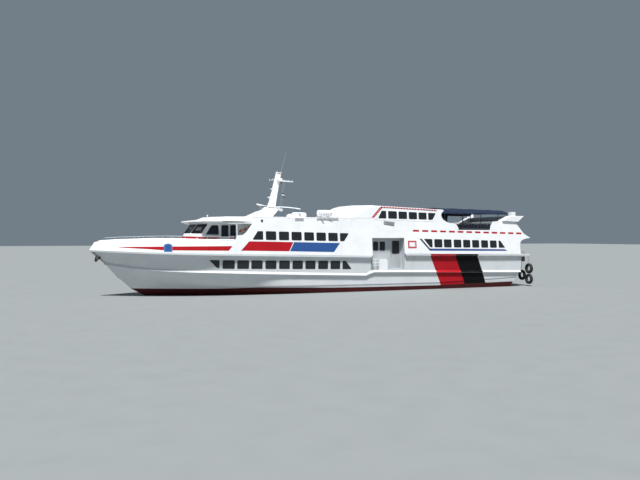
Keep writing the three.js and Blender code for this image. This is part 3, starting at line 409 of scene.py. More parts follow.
def dressed(name, width, material, body):
    mesh = NODES[name].data.copy()
    shell = bmesh.new()
    shell.from_mesh(mesh)
    bmesh.ops.remove_doubles(shell, verts=shell.verts, dist=MERGE)
    bmesh.ops.dissolve_limit(shell, angle_limit=FLAT_ANGLE, verts=shell.verts, edges=shell.edges)
    bmesh.ops.recalc_face_normals(shell, faces=shell.faces)
    shell.to_mesh(mesh)
    shell.free()
    mesh.materials.clear()
    mesh.materials.append(material)
    made = placed(f"{name}_body", mesh, body, [name], SHARP_DEGREES)
    bevel = made.modifiers.new("bevel", "BEVEL")
    bevel.width = width
    bevel.segments = 2
    bevel.limit_method = "ANGLE"
    bevel.angle_limit = radians(SHARP_DEGREES)
    bevel.harden_normals = True


# Lines of the hull as in the model, in metres, each with its height by x
def along(table, x):
    if x <= table[0][0]:
        return table[0][1]
    for (x0, v0), (x1, v1) in zip(table, table[1:]):
        if x <= x1:
            return between(v0, v1, (x - x0) / (x1 - x0))
    return table[-1][1]


STERN_X, STEM_X, BEAM_HALF, BOW_START_X = -18.1, 18.05, 3.42, 8.4
GUNWALE = 0.12
KNUCKLE_Z = [(-18.1, 2.68), (-17, 2.68), (-8.9, 2.76), (-5.65, 2.815), (-2.8, 2.69), (-2.3, 2.69),
             (3.35, 2.81), (8.4, 2.93), (12.65, 3.045), (14.6, 3.1), (18.05, 3.24)]
LEDGE_Z = [(-17.3, 1.24), (-12, 1.34), (-5.65, 1.47), (-2.8, 1.52), (-2.3, 1.27), (3.35, 1.455), (8.4, 1.65),
           (12.65, 1.81), (14.6, 1.94), (17.1, 2.32)]
RAIL_Z = [(-16.8, 0.84), (-13.6, 0.71), (-9, 0.56), (0, 0.59), (7.9, 0.69), (10.5, 0.81), (12.7, 1.04),
          (14.1, 1.14), (16.1, 1.32)]
BOOT_Z = [(-16.6, 0.44), (-13.7, 0.4), (-9, 0.31), (-2.9, 0.345), (0.4, 0.39), (6.3, 0.54), (9.2, 0.49),
          (15.2, 0.55)]
CHINE_Z = [(-16.3, -0.25), (-3, -0.45), (7, -0.45), (11, -0.28), (14.1, -0.06)]
KEEL_Z = [(-15.9, -0.56), (-6, -1.25), (8, -1.38), (11.6, -1.28)]
# Keel to gunwale: ends in x, half width, the x where it starts to narrow, how full it stays, its height with
# a lift above that, and the mark of the strip above it
Line = namedtuple("Line", "aft stem half narrow full z lift mark")
IN_WHITE, IN_BOTTOM, IN_DECK = 0, 1, 2
HULL_LINES = [Line(*row) for row in (
    (-15.9, 11.6, 0, 0, 1, KEEL_Z, 0, IN_BOTTOM),
    (-16.3, 14.1, 2.78, -2, 1.9, CHINE_Z, 0, IN_BOTTOM),
    (-16.6, 15.2, 3.04, 1.2, 1.9, BOOT_Z, 0, IN_WHITE),
    (-16.95, 15.95, 3.055, 2.9, 1.95, RAIL_Z, -0.045, IN_WHITE),
    (-16.95, 16.1, 3.095, 3, 1.95, RAIL_Z, 0, IN_WHITE),
    (-17.1, 16.9, 3.12, 6.1, 2.15, LEDGE_Z, -0.025, IN_WHITE),
    (-17.28, 17.1, 3.27, 6.3, 2.2, LEDGE_Z, 0, IN_WHITE),
    (-17.29, 16.96, 3.17, 6.4, 2.2, LEDGE_Z, 0.165, IN_WHITE),
    (-17.33, 17.7, 3.25, 7.2, 2.2, KNUCKLE_Z, -0.02, IN_WHITE),
    (STERN_X, STEM_X - 0.06, BEAM_HALF, BOW_START_X, 2.2, KNUCKLE_Z, 0, IN_WHITE),
    (STERN_X, STEM_X, BEAM_HALF, BOW_START_X, 2.2, KNUCKLE_Z, GUNWALE, IN_DECK),
)]
BOOT_LINE = 2
LOWER_WALL = HULL_LINES[7:9]
LOWER_WALL_SPAN = 35.3


def line_half(line, x):
    return line.half * (1 - max(0, (x - line.narrow) / (line.stem - line.narrow)) ** line.full)


def line_point(line, share):
    x = between(line.aft, line.stem, share)
    return Vector((x, max(0, line_half(line, x)) if share < 1 else 0, along(line.z, x) + line.lift))


def deck_z(x):
    return along(KNUCKLE_Z, x) + GUNWALE


# Walls, each a function of place along it, height and distance out. The side leans in above the knuckle
LEAN, LEAN_FROM_Z = 0.085, 2.7


def side_y(z):
    return BEAM_HALF - LEAN * (z - LEAN_FROM_Z)


def side_wall(x, z, out=0.0):
    return Vector((x, side_y(z) + out, z + LEAN * out))


def flat_wall(y):
    return lambda x, z, out=0.0: Vector((x, y + out, z))


def aft_face(at):
    return lambda y, z, out=0.0: Vector((at - out, y, z))


ROUNDS, LAST_SHARE, SHARE_STEP = 12, 0.99, 0.004


def ruled(low_at, high_at, span, x, z, out):
    """Finds the share along two lines whose ruling passes x at height z, and steps out from there."""
    share = 0.5
    for _ in range(ROUNDS):
        low, high = low_at(share), high_at(share)
        here = low.lerp(high, (z - low.z) / (high.z - low.z))
        share = min(LAST_SHARE, max(0, share + (x - here.x) / span))
    normal = (high_at(share + SHARE_STEP) - high_at(share - SHARE_STEP)).cross(high - low).normalized()
    return here + normal * (out if normal.y > 0 else -out)


def hull_wall(x, z, out=0.0):
    low, high = [lambda share, line=line: line_point(line, share) for line in LOWER_WALL]
    return ruled(low, high, LOWER_WALL_SPAN, x, z, out)


STATIONS = 96
STEM_HALF = 0.002
SKEG = [(-11, -0.7), (-10.2, -1.5), (4, -1.5), (6.5, -1.25), (6.5, -0.7)]
SKEG_HALF = 0.09
LOBBY_CUT = ((-5.73, -5, 1.7), (-2.68, 5, 5))
SIDE_FACING = 0.3
# Edges between white, red, black and white on the side, each from its upper to its lower end
PATCH_EDGES = [((-8.12, 2.72), (-9.2, 0.4)), ((-10.52, 2.72), (-11.58, 0.4)), ((-12.72, 2.72), (-13.72, 0.4))]


def hull_form():
    form = Form()
    rings = []
    for share in shares(STATIONS):
        port = [line_point(line, share) for line in HULL_LINES]
        if share == 1:
            port = [Vector((p.x, STEM_HALF if k else 0, p.z)) for k, p in enumerate(port)]
        rings.append(port + flipped(reversed(port[1:])))
    marks = [line.mark for line in HULL_LINES]
    form.loft(rings, ends=False, marks=marks + marks[-2::-1])
    count = len(rings[0])
    transom = list(range(BOOT_LINE, count - BOOT_LINE + 1))
    underwater = list(range(count - BOOT_LINE, count)) + list(range(BOOT_LINE + 1))
    form.faces += [transom, underwater, list(range(len(form.points) - count, len(form.points)))]
    form.marks += [IN_WHITE, IN_BOTTOM, IN_WHITE]
    return form.loft([[(x, y, z) for x, z in SKEG] for y in (-SKEG_HALF, SKEG_HALF)], mark=IN_BOTTOM)


def cut_lobby(made):
    tool = linked("cut", mesh_of("cut", Form().box(*LOBBY_CUT, 0.0001), [DECK]))
    cut = made.modifiers.new("lobby", "BOOLEAN")
    cut.object = tool
    cut.operation = "DIFFERENCE"
    cut.solver = "EXACT"
    cut.material_mode = "TRANSFER"
    graph = bpy.context.evaluated_depsgraph_get()
    result = bpy.data.meshes.new_from_object(made.evaluated_get(graph))
    made.modifiers.clear()
    made.data = result
    bpy.data.objects.remove(tool)


def paint_patches(mesh):
    shell = bmesh.new()
    shell.from_mesh(mesh)
    for (x0, z0), (x1, z1) in PATCH_EDGES:
        bmesh.ops.bisect_plane(shell, geom=shell.verts[:] + shell.edges[:] + shell.faces[:],
                               plane_co=(x0, 0, z0), plane_no=(z0 - z1, 0, x1 - x0))
    slots = [material.name for material in mesh.materials]
    for face in shell.faces:
        middle = face.calc_center_median()
        if face.material_index == IN_WHITE and abs(face.normal.y) > SIDE_FACING:
            places = [between(x0, x1, (middle.z - z0) / (z1 - z0)) for (x0, z0), (x1, z1) in PATCH_EDGES]
            if places[1] < middle.x < places[0]:
                face.material_index = slots.index(RED.name)
            elif places[2] < middle.x < places[1]:
                face.material_index = slots.index(BLACK.name)
    shell.to_mesh(mesh)
    shell.free()


# The hull's white faces carry the greyed white of painted shade.
hull = piece("hull_shell", hull_form(), [HULL_WHITE_PAINTED_SHADE, BOTTOM, DECK, RED, BLACK], replaces=["hull"],
             smooth=20)
cut_lobby(hull)
paint_patches(hull.data)

# Bow bulwark, as foot and top outside, then top and foot inside: the stem's x and the half width
BULWARK_TOP_Z = [(8.4, 4.06), (10.5, 4.07), (12.9, 4.14), (15.9, 4.06), (17.4, 3.98), (17.72, 3.9)]
BULWARK_HALF = side_y(4.06)
BULWARK_THICK = 0.09
BULWARK_LINES = [(STEM_X, BEAM_HALF, "foot"), (17.72, BULWARK_HALF, "top"),
                 (17.45, BULWARK_HALF - BULWARK_THICK, "top"), (17.65, BEAM_HALF - BULWARK_THICK, "foot")]
BULWARK_STEPS, BULWARK_FULL, BULWARK_SPAN = 48, 2.2, 9.5
SEAT_GAP = 0.0003
CAPPING_RADIUS, CAPPING_RISE = 0.055, 0.008
BOW_RAIL = {"rise": 0.21, "radius": 0.02, "post": 0.016, "end_x": 17.1}
POST_FOOT = [(0, 0), (0, 0.045), (0.012, 0.045), (0.02, 0.02), (0.02, 0)]


def bulwark_lines(share):
    made = []
    for stem, half, level in BULWARK_LINES:
        x = between(BOW_START_X, stem, share)
        z = along(BULWARK_TOP_Z, x) if level == "top" else deck_z(x) + SEAT_GAP
        made.append(Vector((x, half * (1 - max(0, share) ** BULWARK_FULL), z)))
    return made


def bulwark_wall(x, z, out=0.0):
    return ruled(lambda share: bulwark_lines(share)[0], lambda share: bulwark_lines(share)[1], BULWARK_SPAN,
                 x, z, out)


rings = [bulwark_lines(share) for share in shares(BULWARK_STEPS)]
piece("bow_bulwark_plating", Form().loft(rings + [flipped(ring) for ring in reversed(rings[:-1])]), [WHITE],
      replaces=["bow_bulwark"], smooth=25)
top = [(ring[1] + ring[2]) / 2 + Vector((0, 0, CAPPING_RISE)) for ring in rings[:-1]]
route = top + flipped(reversed(top))
piece("bow_capping", Form().tube(route, CAPPING_RADIUS, 12), [WHITE])
form = Form()
up = Vector((0, 0, BOW_RAIL["rise"]))
raised = [p + up for p in route if p.x < BOW_RAIL["end_x"]]
form.tube(raised, BOW_RAIL["radius"])
for point in raised[2::4]:
    form.tube([point - up, point], BOW_RAIL["post"], 8)
    form.lathe(POST_FOOT, point - up + Vector((0, 0, 0.01)), sides=12)
piece("bow_rail_tubes", form, [GREY], replaces=["bow_rail"])

# Nodes shown with rounded edges, as [node, edge radius, material]. Doors ride bodies of their own names
DRESSED = [(name, 0.03, WHITE) for name in ("upper_saloon_roof", "third_deck_roof", "third_deck_front",
                                            "wheelhouse_roof")]
DRESSED += [(name, 0.01, WHITE) for name in ("saloon_front", "aft_bulkhead", "third_deck_bulkhead")]
DRESSED += [("wheelhouse_front", 0.012, WHITE), ("mast_pylon", 0.05, WHITE), ("aft_arch", 0.05, WHITE),
            ("sun_deck", 0.004, DECK)]
# The lobby lining here and the lobby doors below take LOBBY's grey, which is painted shade.
DRESSED += [(f"{name}_{side}", width, material) for name, width, material in (
    ("forward_side", 0.012, WHITE), ("aft_side", 0.02, WHITE), ("third_deck_side", 0.012, WHITE),
    ("wheelhouse_side", 0.012, WHITE), ("lobby_lining", 0.012, LOBBY), ("lobby_gate", 0.02, WHITE))
    for side in SIDES]
DRESSED += [(f"{name}_{side}", 0.006, material) for side in SIDES
            for name, material in (("wheelhouse_door", WHITE), ("lobby_door", LOBBY))]
DRESSED += [("aft_door", 0.006, WHITE), ("third_deck_door", 0.006, WHITE)]
for name, width, material in DRESSED:
    dressed(name, width, material, name if "door" in name else "ship")

# Materials of the nodes that stay as they are
KEPT = [("engine_room_cover", DECK), ("helm_console", DARK), ("helm_seat", DARK), ("anchor", IRON)]
KEPT += [(f"{name}_{side}", material) for side in SIDES for name, material in
         (("engine", ENGINE), ("propeller", BRONZE), ("shaft_bracket", BOTTOM), ("rudder", BOTTOM))]
for name, material in KEPT:
    NODES[name].data.materials.clear()
    NODES[name].data.materials.append(material)


# Panes in rubber, as outlines of [x, z] on a wall, marked glass and rubber. The lip is [how far in, out]
LIP = [(0, -0.01), (0, 0.008), (0.006, 0.013)]
LIP_OUT, LIP_FALL = 0.011, 0.004
PANE_BACK, PANE_FACE = -0.004, 0.006


def window(form, corners, wall, radius=0.08, rim=0.022, grow=0.012, depth=0.0):
    outline = inset(rounded(corners, radius), -grow)
    section = LIP + [(rim, LIP_OUT), (rim + LIP_FALL, -depth)]
    form.loft([[wall(x, z, out) for x, z in inset(outline, width)] for width, out in section],
              wrap=True, mark=1)
    form.slab(inset(outline, rim), wall, PANE_BACK - depth, PANE_FACE - depth, 0.002)


# Rows of windows: heights of the tops and sills by x, the upright panes as [fore, aft], and the two end panes
WINDOW_ROWS = [
    {"name": "lower_windows", "wall": hull_wall,
     "tops": [(-0.96, 2.42), (10.05, 2.62)], "sills": [(-0.96, 1.81), (10.05, 2.03)],
     "upright": [(9.18, 8.32), (8.12, 7.26), (7.07, 6.23), (5.99, 5.16), (4.92, 4.1), (3.87, 3.06),
                 (2.83, 2.03), (1.78, 0.99), (0.76, -0.03)],
     "ends": [[(10.12, 2.62), (9.42, 2.61), (9.42, 2.04), (9.6, 2.1)],
              [(-0.25, 2.43), (-0.5, 2.43), (-1.0, 1.81), (-0.25, 1.82)]]},
    {"name": "upper_windows", "wall": side_wall,
     "tops": [(-0.7, 4.56), (6.98, 4.72)], "sills": [(-0.7, 3.96), (6.98, 4.1)],
     "upright": [(5.98, 5.2), (4.96, 4.19), (3.97, 3.18), (2.95, 2.18), (1.96, 1.2), (0.98, 0.21)],
     "ends": [[(6.6, 4.7), (6.21, 4.7), (6.21, 4.09), (7.0, 4.1)],
              [(0, 4.57), (-0.72, 4.56), (-0.33, 3.97), (0, 3.97)]]},
    {"name": "aft_windows", "wall": side_wall,
     "tops": [(-15.4, 3.95), (-7.5, 4.12)], "sills": [(-15.4, 3.37), (-7.5, 3.46)],
     "upright": [(-8.45, -9.19), (-9.37, -10.09), (-10.33, -11.05), (-11.25, -11.94), (-12.15, -12.83),
                 (-13.06, -13.74), (-13.96, -14.63)],
     "ends": [[(-7.48, 4.12), (-8.25, 4.1), (-8.25, 3.45), (-8.05, 3.46)],
              [(-14.86, 3.96), (-15.02, 3.96), (-15.48, 3.38), (-14.86, 3.38)]]},
    {"name": "third_deck_windows", "wall": side_wall,
     "tops": [(-8.7, 6.22), (-3.5, 6.36)], "sills": [(-8.7, 5.7), (-3.5, 5.77)],
     "upright": [(-4.28, -5.05), (-5.22, -5.97), (-6.16, -6.9), (-7.07, -7.8)],
     "ends": [[(-3.7, 6.35), (-4.08, 6.34), (-4.08, 5.76), (-3.38, 5.77)],
              [(-7.98, 6.24), (-8.68, 6.22), (-8.35, 5.7), (-7.98, 5.7)]]},
]
for row in WINDOW_ROWS:
    form = Form()
    for fore, aft in row["upright"]:
        top, low = [[(x, along(row[line], x)) for x in (fore, aft)] for line in ("tops", "sills")]
        window(form, [top[0], top[1], low[1], low[0]], row["wall"])
    for corners in row["ends"]:
        window(form, corners, row["wall"], 0.06)
    pair(row["name"], form, [GLASS, RUBBER])

# Wheelhouse front as plans of [z, (x, y) from the middle outward], and its panes as [left, right, proud]
WHEELHOUSE_PLANS = [(3.15, [(11.9, 0), (11.65, 1.15), (10.9, 2.3)]),
                    (4.48, [(11.34, 0), (11.15, 1.15), (10.54, 2.3)]),
                    (5.2397, [(10.79, 0), (10.6, 1.12), (10.04, 2.3)])]
SCREEN_PANES = [(-2.24, -1.23, 0.018), (-1.09, -0.05, -0.025), (0.05, 1.09, -0.025), (1.23, 2.24, 0.018)]
SCREEN_SILL, SCREEN_HEAD = 4.56, 5.2
WHEELHOUSE_SIDE = flat_wall(2.3)


def screen_wall(y, z, out=0.0):
    rows = [[along([(z0, plan[i][k]) for z0, plan in WHEELHOUSE_PLANS], z) for k in (1, 0)] for i in range(3)]
    return Vector((along(rows, abs(y)) + out, y, z))


def lifted(wall, lift):
    return lambda a, b, out=0.0: wall(a, b, out + lift)


form = Form()
for left, right, proud in SCREEN_PANES:
    pane = rectangle(left, right, SCREEN_SILL, SCREEN_HEAD)
    window(form, pane, lifted(screen_wall, max(0, proud)), 0.05, 0.02, depth=max(0, -proud))
piece("wheelhouse_screen", form, [WHEEL_GLASS, RUBBER])
form = Form()
for corners, radius in (([(10.22, 4.46), (9.79, 5.12), (9.31, 5.12), (9.28, 4.43)], 0.1),
                        (rectangle(8.01, 8.4, 4.37, 5.15), 0.06)):
    window(form, corners, WHEELHOUSE_SIDE, radius, 0.025, 0.015, 0.03)
pair("wheelhouse_side_panes", form, [WHEEL_GLASS, RUBBER])

# Doors and what is set in them
DOOR_Y, LOBBY_DOOR_Y, LOBBY_WALL_Y = 2.345, 2.765, 2.85
# Doors that face aft, as [body, x, half width of the pane, sill, head]
AFT_DOORS = [("aft_door", -17.005, 0.3, 3.5, 4.15), ("third_deck_door", -9.205, 0.26, 5.2, 5.85)]
# Windows that face aft, as [x, inner side, outer side, sill, head]
AFT_WINDOWS = [(-16.96, 0.9, 1.6, 3.45, 4.1), (-16.96, 1.85, 2.55, 3.45, 4.1), (-9.16, 0.75, 1.55, 5.3, 5.95),
               (-9.16, 1.75, 2.5, 5.3, 5.95)]
HANDLE_OUT, HANDLE_BEND = 0.045, 0.02


def handle(form, foot, out, height):
    foot, out, up, bend = Vector(foot), Vector(out), Vector((0, 0, height)), Vector((0, 0, HANDLE_BEND))
    form.tube([foot, foot + out + bend, foot + out + up - bend, foot + up], 0.012, 8, mark=2)


form = Form()
window(form, rectangle(8.565, 9.075, 4.27, 5.125), flat_wall(DOOR_Y), 0.05, 0.02, 0.015, 0.02)
handle(form, (8.56, DOOR_Y, 4.0), (0, HANDLE_OUT, 0), 0.22)
form.slab(rounded(rectangle(8.54, 8.58, 3.98, 4.24), 0.02), flat_wall(DOOR_Y), 0, 0.006, 0.002, mark=2)
pair("wheelhouse_door_fittings", form, [WHEEL_GLASS, RUBBER, STEEL], "wheelhouse_door")
form = Form()
window(form, rectangle(-4.84, -5.46, 2.94, 3.96), flat_wall(LOBBY_DOOR_Y))
handle(form, (-4.73, LOBBY_DOOR_Y, 2.7), (0, HANDLE_OUT, 0), 0.24)
pair("lobby_door_fittings", form, [GLASS, RUBBER, STEEL], "lobby_door")
form = Form()
for fore, aft in ((-3.09, -3.51), (-3.67, -4.13)):
    window(form, [(fore, 3.91), (aft, 3.9), (aft, 3.21), (fore, 3.22)], flat_wall(LOBBY_WALL_Y), 0.09)
pair("lobby_windows", form, [GLASS, RUBBER])
for name, at, half, sill, head in AFT_DOORS:
    form = Form()
    window(form, rectangle(-half, half, sill, head), aft_face(at), 0.06)
    handle(form, (at, -half - 0.06, sill - 0.3), (-0.04, 0, 0), 0.2)
    piece(f"{name}_fittings", form, [GLASS, RUBBER, STEEL], name)
form = Form()
for at, inner, outer, sill, head in AFT_WINDOWS:
    window(form, rectangle(inner, outer, sill, head), aft_face(at), 0.07)
pair("bulkhead_windows", form, [GLASS, RUBBER])

# Painted bands: their faces stand a little out of the wall, and their backs inside it
PAINT_LIFT, PAINT_BACK = 0.003, -0.004


def band(form, top, low, wall, mark=0, lift=PAINT_LIFT, steps=16):
    """Paints between two edges, each a table of [x, z] from fore to aft."""
    rings = []
    for share in shares(steps):
        places = [between(line[0][0], line[-1][0], share) for line in (top, low)]
        upper, lower = [(x, along(sorted(line), x)) for x, line in zip(places, (top, low))]
        rings.append([wall(*upper, lift), wall(*lower, lift), wall(*lower, PAINT_BACK),
                      wall(*upper, PAINT_BACK)])
    form.loft(rings, mark=mark)


BEAD_TALL = 0.7


def beads(form, start, end, count, size, mark):
    for i in range(count):
        x, z = [between(a, b, (i + 0.5) / count) for a, b in zip(start, end)]
        tall = size * BEAD_TALL
        diamond = [(x + size, z), (x, z + tall), (x - size, z), (x, z - tall)]
        form.slab(diamond, side_wall, 0.0, 0.006, mark=mark)


STRIPE_COLOURS = [RED, BLUE, PINK, GREEN, WHITE, LIGHT_BLUE]
IN_RED, IN_BLUE, IN_PINK, IN_GREEN, IN_PALE, IN_LIGHT_BLUE = range(len(STRIPE_COLOURS))
# Bands on the side as [upper edge, lower edge, mark]
SIDE_BANDS = [([(7.27, 3.97), (3.85, 3.9)], [(7.9, 3.29), (4.2, 3.22)], IN_RED),
              ([(3.79, 3.9), (0.02, 3.82)], [(4.14, 3.22), (0.56, 3.13)], IN_BLUE),
              ([(-7.05, 4.14), (-7.98, 3.17)], [(-7.25, 4.14), (-8.14, 3.2)], IN_GREEN),
              ([(-7.96, 3.35), (-15.45, 3.24)], [(-8.01, 3.16), (-15.75, 3.09)], IN_BLUE)]
SLANT_STRIPE = [(-2.78, 5.82), (-3.0, 5.8), (-3.78, 6.6), (-3.54, 6.62)]
DASHES = {"count": 13, "fore": -6.48, "pitch": 0.857, "z": 4.79, "fall": 0.19, "long": 0.56, "half": 0.075,
          "tilt": 0.01}
SIGN = [(-5.97, 3.98), (-6.75, 3.98), (-6.75, 3.37), (-5.97, 3.37)]
BOW_STRIPE = ([(16.2, 3.58), (13.3, 3.61), (8.53, 3.63)],
              [(16.2, 3.55), (14.26, 3.43), (13.3, 3.35), (8.82, 3.3)])
BOW_PANEL = [(13.28, 3.23), (13.28, 3.68), (13.2, 3.78), (13.0, 3.83), (12.8, 3.78), (12.72, 3.68),
             (12.72, 3.23)]
form = Form()
for top, low, mark in SIDE_BANDS:
    band(form, top, low, side_wall, mark)
beads(form, (-8.05, 3.345), (-15.3, 3.235), 62, 0.03, IN_PINK)
form.slab(SLANT_STRIPE, side_wall, PAINT_BACK, 0.005, mark=IN_RED)
beads(form, (-2.95, 5.86), (-3.63, 6.56), 9, 0.05, IN_PINK)
for i in range(DASHES["count"]):
    fore = DASHES["fore"] - DASHES["pitch"] * i
    z = DASHES["z"] - DASHES["fall"] * i / (DASHES["count"] - 1)
    top, low = [[(fore, z + half), (fore - DASHES["long"], z + half - DASHES["tilt"])]
                for half in (DASHES["half"], -DASHES["half"])]
    band(form, top, low, side_wall, IN_RED, steps=2)
for grow, lift, mark in ((0, 0.004, IN_RED), (0.09, 0.008, IN_PINK), (0.17, 0.012, IN_PALE)):
    form.slab(inset(SIGN, grow), side_wall, PAINT_BACK, lift, mark=mark)
band(form, *BOW_STRIPE, bulwark_wall, IN_RED, 0.006, 40)
form.slab(BOW_PANEL, bulwark_wall, PAINT_BACK, 0.012, 0.003, IN_LIGHT_BLUE)
form.slab(inset(BOW_PANEL, 0.07), bulwark_wall, 0, 0.016, 0.003, IN_BLUE)
band(form, [(10.68, 4.31), (9.2, 4.31)], [(10.72, 4.09), (9.2, 4.09)], WHEELHOUSE_SIDE, IN_RED, steps=2)
band(form, [(8.44, 4.29), (7.9, 4.29)], [(8.44, 4.09), (7.9, 4.09)], WHEELHOUSE_SIDE, IN_PINK, steps=2)
pair("side_stripes", form, STRIPE_COLOURS)
SCREEN_STRIPE = [(4.31, 0.024), (4.1, 0.024), (4.1, -0.01), (4.31, -0.01)]
form = Form()
for side in (1, -1):
    form.loft([[screen_wall(side * step * 0.23, z, out) for z, out in SCREEN_STRIPE] for step in range(11)])
piece("wheelhouse_stripe", form, [RED])

# Fascia with its rope pattern along the third deck roof, and the moulding under the windows
ROOF_EDGE_Z = [(-9.5, 6.54), (-8.65, 6.57), (-3.3, 6.765)]
MOULDING_Z = [(-8.55, 5.55), (-2.95, 5.66)]
TWISTS = {"count": 40, "fore": -3.62, "pitch": 0.13, "drop": 0.1, "lean": 0.35}
TWIST_SECTION = [(0, 0.05), (0.018, 0.03), (0.018, -0.03), (0, -0.05)]
TWIST_RUNS = [(0.0, 0.4), (0.03, 1), (0.1, 1), (0.128, 0.4)]
MOULDING = {"count": 40, "fore": -2.95, "pitch": 0.14}
form = Form()
for i in range(TWISTS["count"]):
    fore = TWISTS["fore"] - i * TWISTS["pitch"]
    z = along(ROOF_EDGE_Z, fore) - TWISTS["drop"]
    y = side_y(z) + 0.012
    rings = [[(fore - run - rise * TWISTS["lean"], y + out * swell, z + rise) for out, rise in TWIST_SECTION]
             for run, swell in TWIST_RUNS]
    form.loft(rings, mark=i % 2)
for i in range(MOULDING["count"]):
    ends = [MOULDING["fore"] - k * MOULDING["pitch"] for k in (i, i + 1)]
    form.tube([side_wall(x, along(MOULDING_Z, x), 0.004) for x in ends], 0.012, 8, mark=2)
pair("third_deck_trim", form, [RED, PINK, WHITE])


def oblong(x0, x1, half, z, radius=0.03):
    return [(x, y, z) for x, y in rounded(rectangle(x0, x1, -half, half), radius, 3)]


LAMP_BASE = [(0, 0.8), (0.5, 0.8), (0.6, 1)]
LAMP_GLASS = [(0.6, 1), (1.7, 0.96), (2.1, 0.7), (2.2, 0.0)]


def lamp(form, foot, size, axis=(0, 0, 1)):
    for profile, mark in ((LAMP_BASE, 2), (LAMP_GLASS, 1)):
        form.lathe([(rise * size, radius * size) for rise, radius in profile], foot, axis, 16, mark)


# Mast: rows of the post as [z, aft, fore, half width], yard arms as [inner end, outer end, radii], and lamp
# arms as [x, z]
MAST_ROWS = [(6.6606, 4.15, 4.75, 0.17), (8.0, 3.91, 4.38, 0.145), (9.33, 3.64, 4.05, 0.12)]
MAST_FORE_X = [(row[0], row[2]) for row in MAST_ROWS]
YARD_ARMS = [((3.72, -0.08, 8.86), (3.7, -2.7, 8.97), 0.034, 0.022),
             ((3.72, 0.08, 8.72), (3.7, 2.8, 8.43), 0.055, 0.04)]
SPIKES_AT, SPIKE_HIGH = (0.3, 0.65, 0.97), 0.13
LAMP_ARMS = [(4.5, 8.07), (4.74, 7.41)]
WHIP = [(3.68, 0, 9.365), (3.62, 0, 9.5), (3.2, 0, 11.02)]
# Halyards as [y, x of the foot] under the port yard arm
HALYARDS = [(0.9, 4.1), (1.05, 3.98)]
mast = Form().loft([oblong(aft, fore, half, z, 0.04) for z, aft, fore, half in MAST_ROWS])
mast.loft([oblong(3.62, 4.05, 0.16, z, 0.05) for z in (9.33, 9.37)])
for start, end, radius, tip in YARD_ARMS:
    mast.tube([start, end], radius, 12, end_radius=tip)
    for share in SPIKES_AT:
        at = Vector(start).lerp(Vector(end), share)
        mast.tube([at, at + Vector((0, 0, SPIKE_HIGH))], 0.012, 8)
mast.box((3.62, -0.3, 8.7), (4.02, 0.3, 8.9), 0.03)
for x, z in LAMP_ARMS:
    fore = along(MAST_FORE_X, z) - 0.04
    arm = [(fore, z - 0.22), (x, z - 0.05), (x + 0.02, z), (fore, z + 0.02)]
    mast.solid(arm, flat_wall(-0.04), 0, 0.08, 0.01)
    mast.loft([oblong(x - 0.16, x + 0.04, 0.1, level) for level in (z, z + 0.025)])
    lamp(mast, (x - 0.05, 0, z + 0.025), 0.06)
lamp(mast, (3.71, -0.85, 8.91), 0.05)
lamp(mast, (3.78, 0.38, 8.6), 0.06, (0, 0, -1))
for y, height in ((-0.11, 0.09), (0.11, 0.07)):
    mast.tube([(3.98, y, 9.365), (3.98, y, 9.37 + height)], 0.025, end_radius=0.015)
mast.tube(WHIP, 0.016, 8, mark=3, end_radius=0.006)
inner, outer = [Vector(end) for end in YARD_ARMS[1][:2]]
for y, foot_x in HALYARDS:
    mast.tube([(foot_x, y, 6.6), inner.lerp(outer, (y - inner.y) / (outer.y - inner.y))], 0.006, 6, mark=3)
piece("mast_post", mast, [WHITE, DARK, STEEL, GREY], replaces=["mast"])

# Flag of plain bands, hung slack between the halyards. Its middle columns are pale
FLAG = {"x": 3.9, "y": 0.96, "z": 7.42, "size": 0.3, "thick": 0.003, "steps": 14, "pale": range(4, 9),
        "trail": 0.22, "twist": 0.04, "wave": 0.045, "fall": 0.1}


def flag_point(u, v, layer):
    back = u * (FLAG["trail"] + FLAG["twist"] * sin(5 * v))
    wave = u * FLAG["wave"] * sin(9 * u + 2 * v)
    skin = FLAG["thick"] * layer
    z = FLAG["z"] + FLAG["size"] * v - FLAG["fall"] * u * u
    return FLAG["x"] - back + skin, FLAG["y"] + wave + skin, z


steps = shares(FLAG["steps"])
form = Form().grid([[[flag_point(u, v, layer) for v in steps] for u in steps] for layer in (0, 1)],
                   [int(j in FLAG["pale"]) for j in range(FLAG["steps"])])
banner = piece("signal_flag", form, [CLOTH, PALE_CLOTH], smooth=60)

# Platform under the mast: a tongue that rises ahead as [x, half width, z], and two drooping wings as
# [fore edge, aft edge]
PLATFORM_LEVELS = [(6.6004, 0.58), (6.62, 0.6), (6.66, 0.6), (6.6601, 0.58)]
TONGUE_ROWS = [(4.3, 0.56, 6.66), (4.9, 0.53, 6.67), (5.2, 0.45, 6.73), (5.5, 0.3, 6.81), (5.66, 0.16, 6.86)]
WING_ROWS = [((4.3, 0.5, 6.64), (3.85, 0.45, 6.64)), ((4.0, 0.8, 6.62), (3.55, 0.75, 6.62)),
             ((3.6, 1.35, 6.57), (3.1, 1.2, 6.57)), ((3.25, 1.8, 6.5), (2.86, 1.65, 6.5)),
             ((3.0, 2.08, 6.44), (2.78, 1.98, 6.44)), ((2.86, 2.16, 6.42), (2.8, 2.14, 6.42))]
HORN = [(0, 0.02), (0.1, 0.024), (0.12, 0.04), (0.24, 0.06), (0.26, 0.07), (0.26, 0.058), (0.2, 0.04)]
PLATE_EDGE = 0.06


def plate(form, rows, thick):
    rings = []
    for fore, aft in rows:
        fore, aft, lift = Vector(fore), Vector(aft), Vector((0, 0, thick / 2))
        front, back = fore.lerp(aft, PLATE_EDGE), aft.lerp(fore, PLATE_EDGE)
        rings.append([fore, front + lift, back + lift, aft, back - lift, front - lift])
    form.loft(rings)


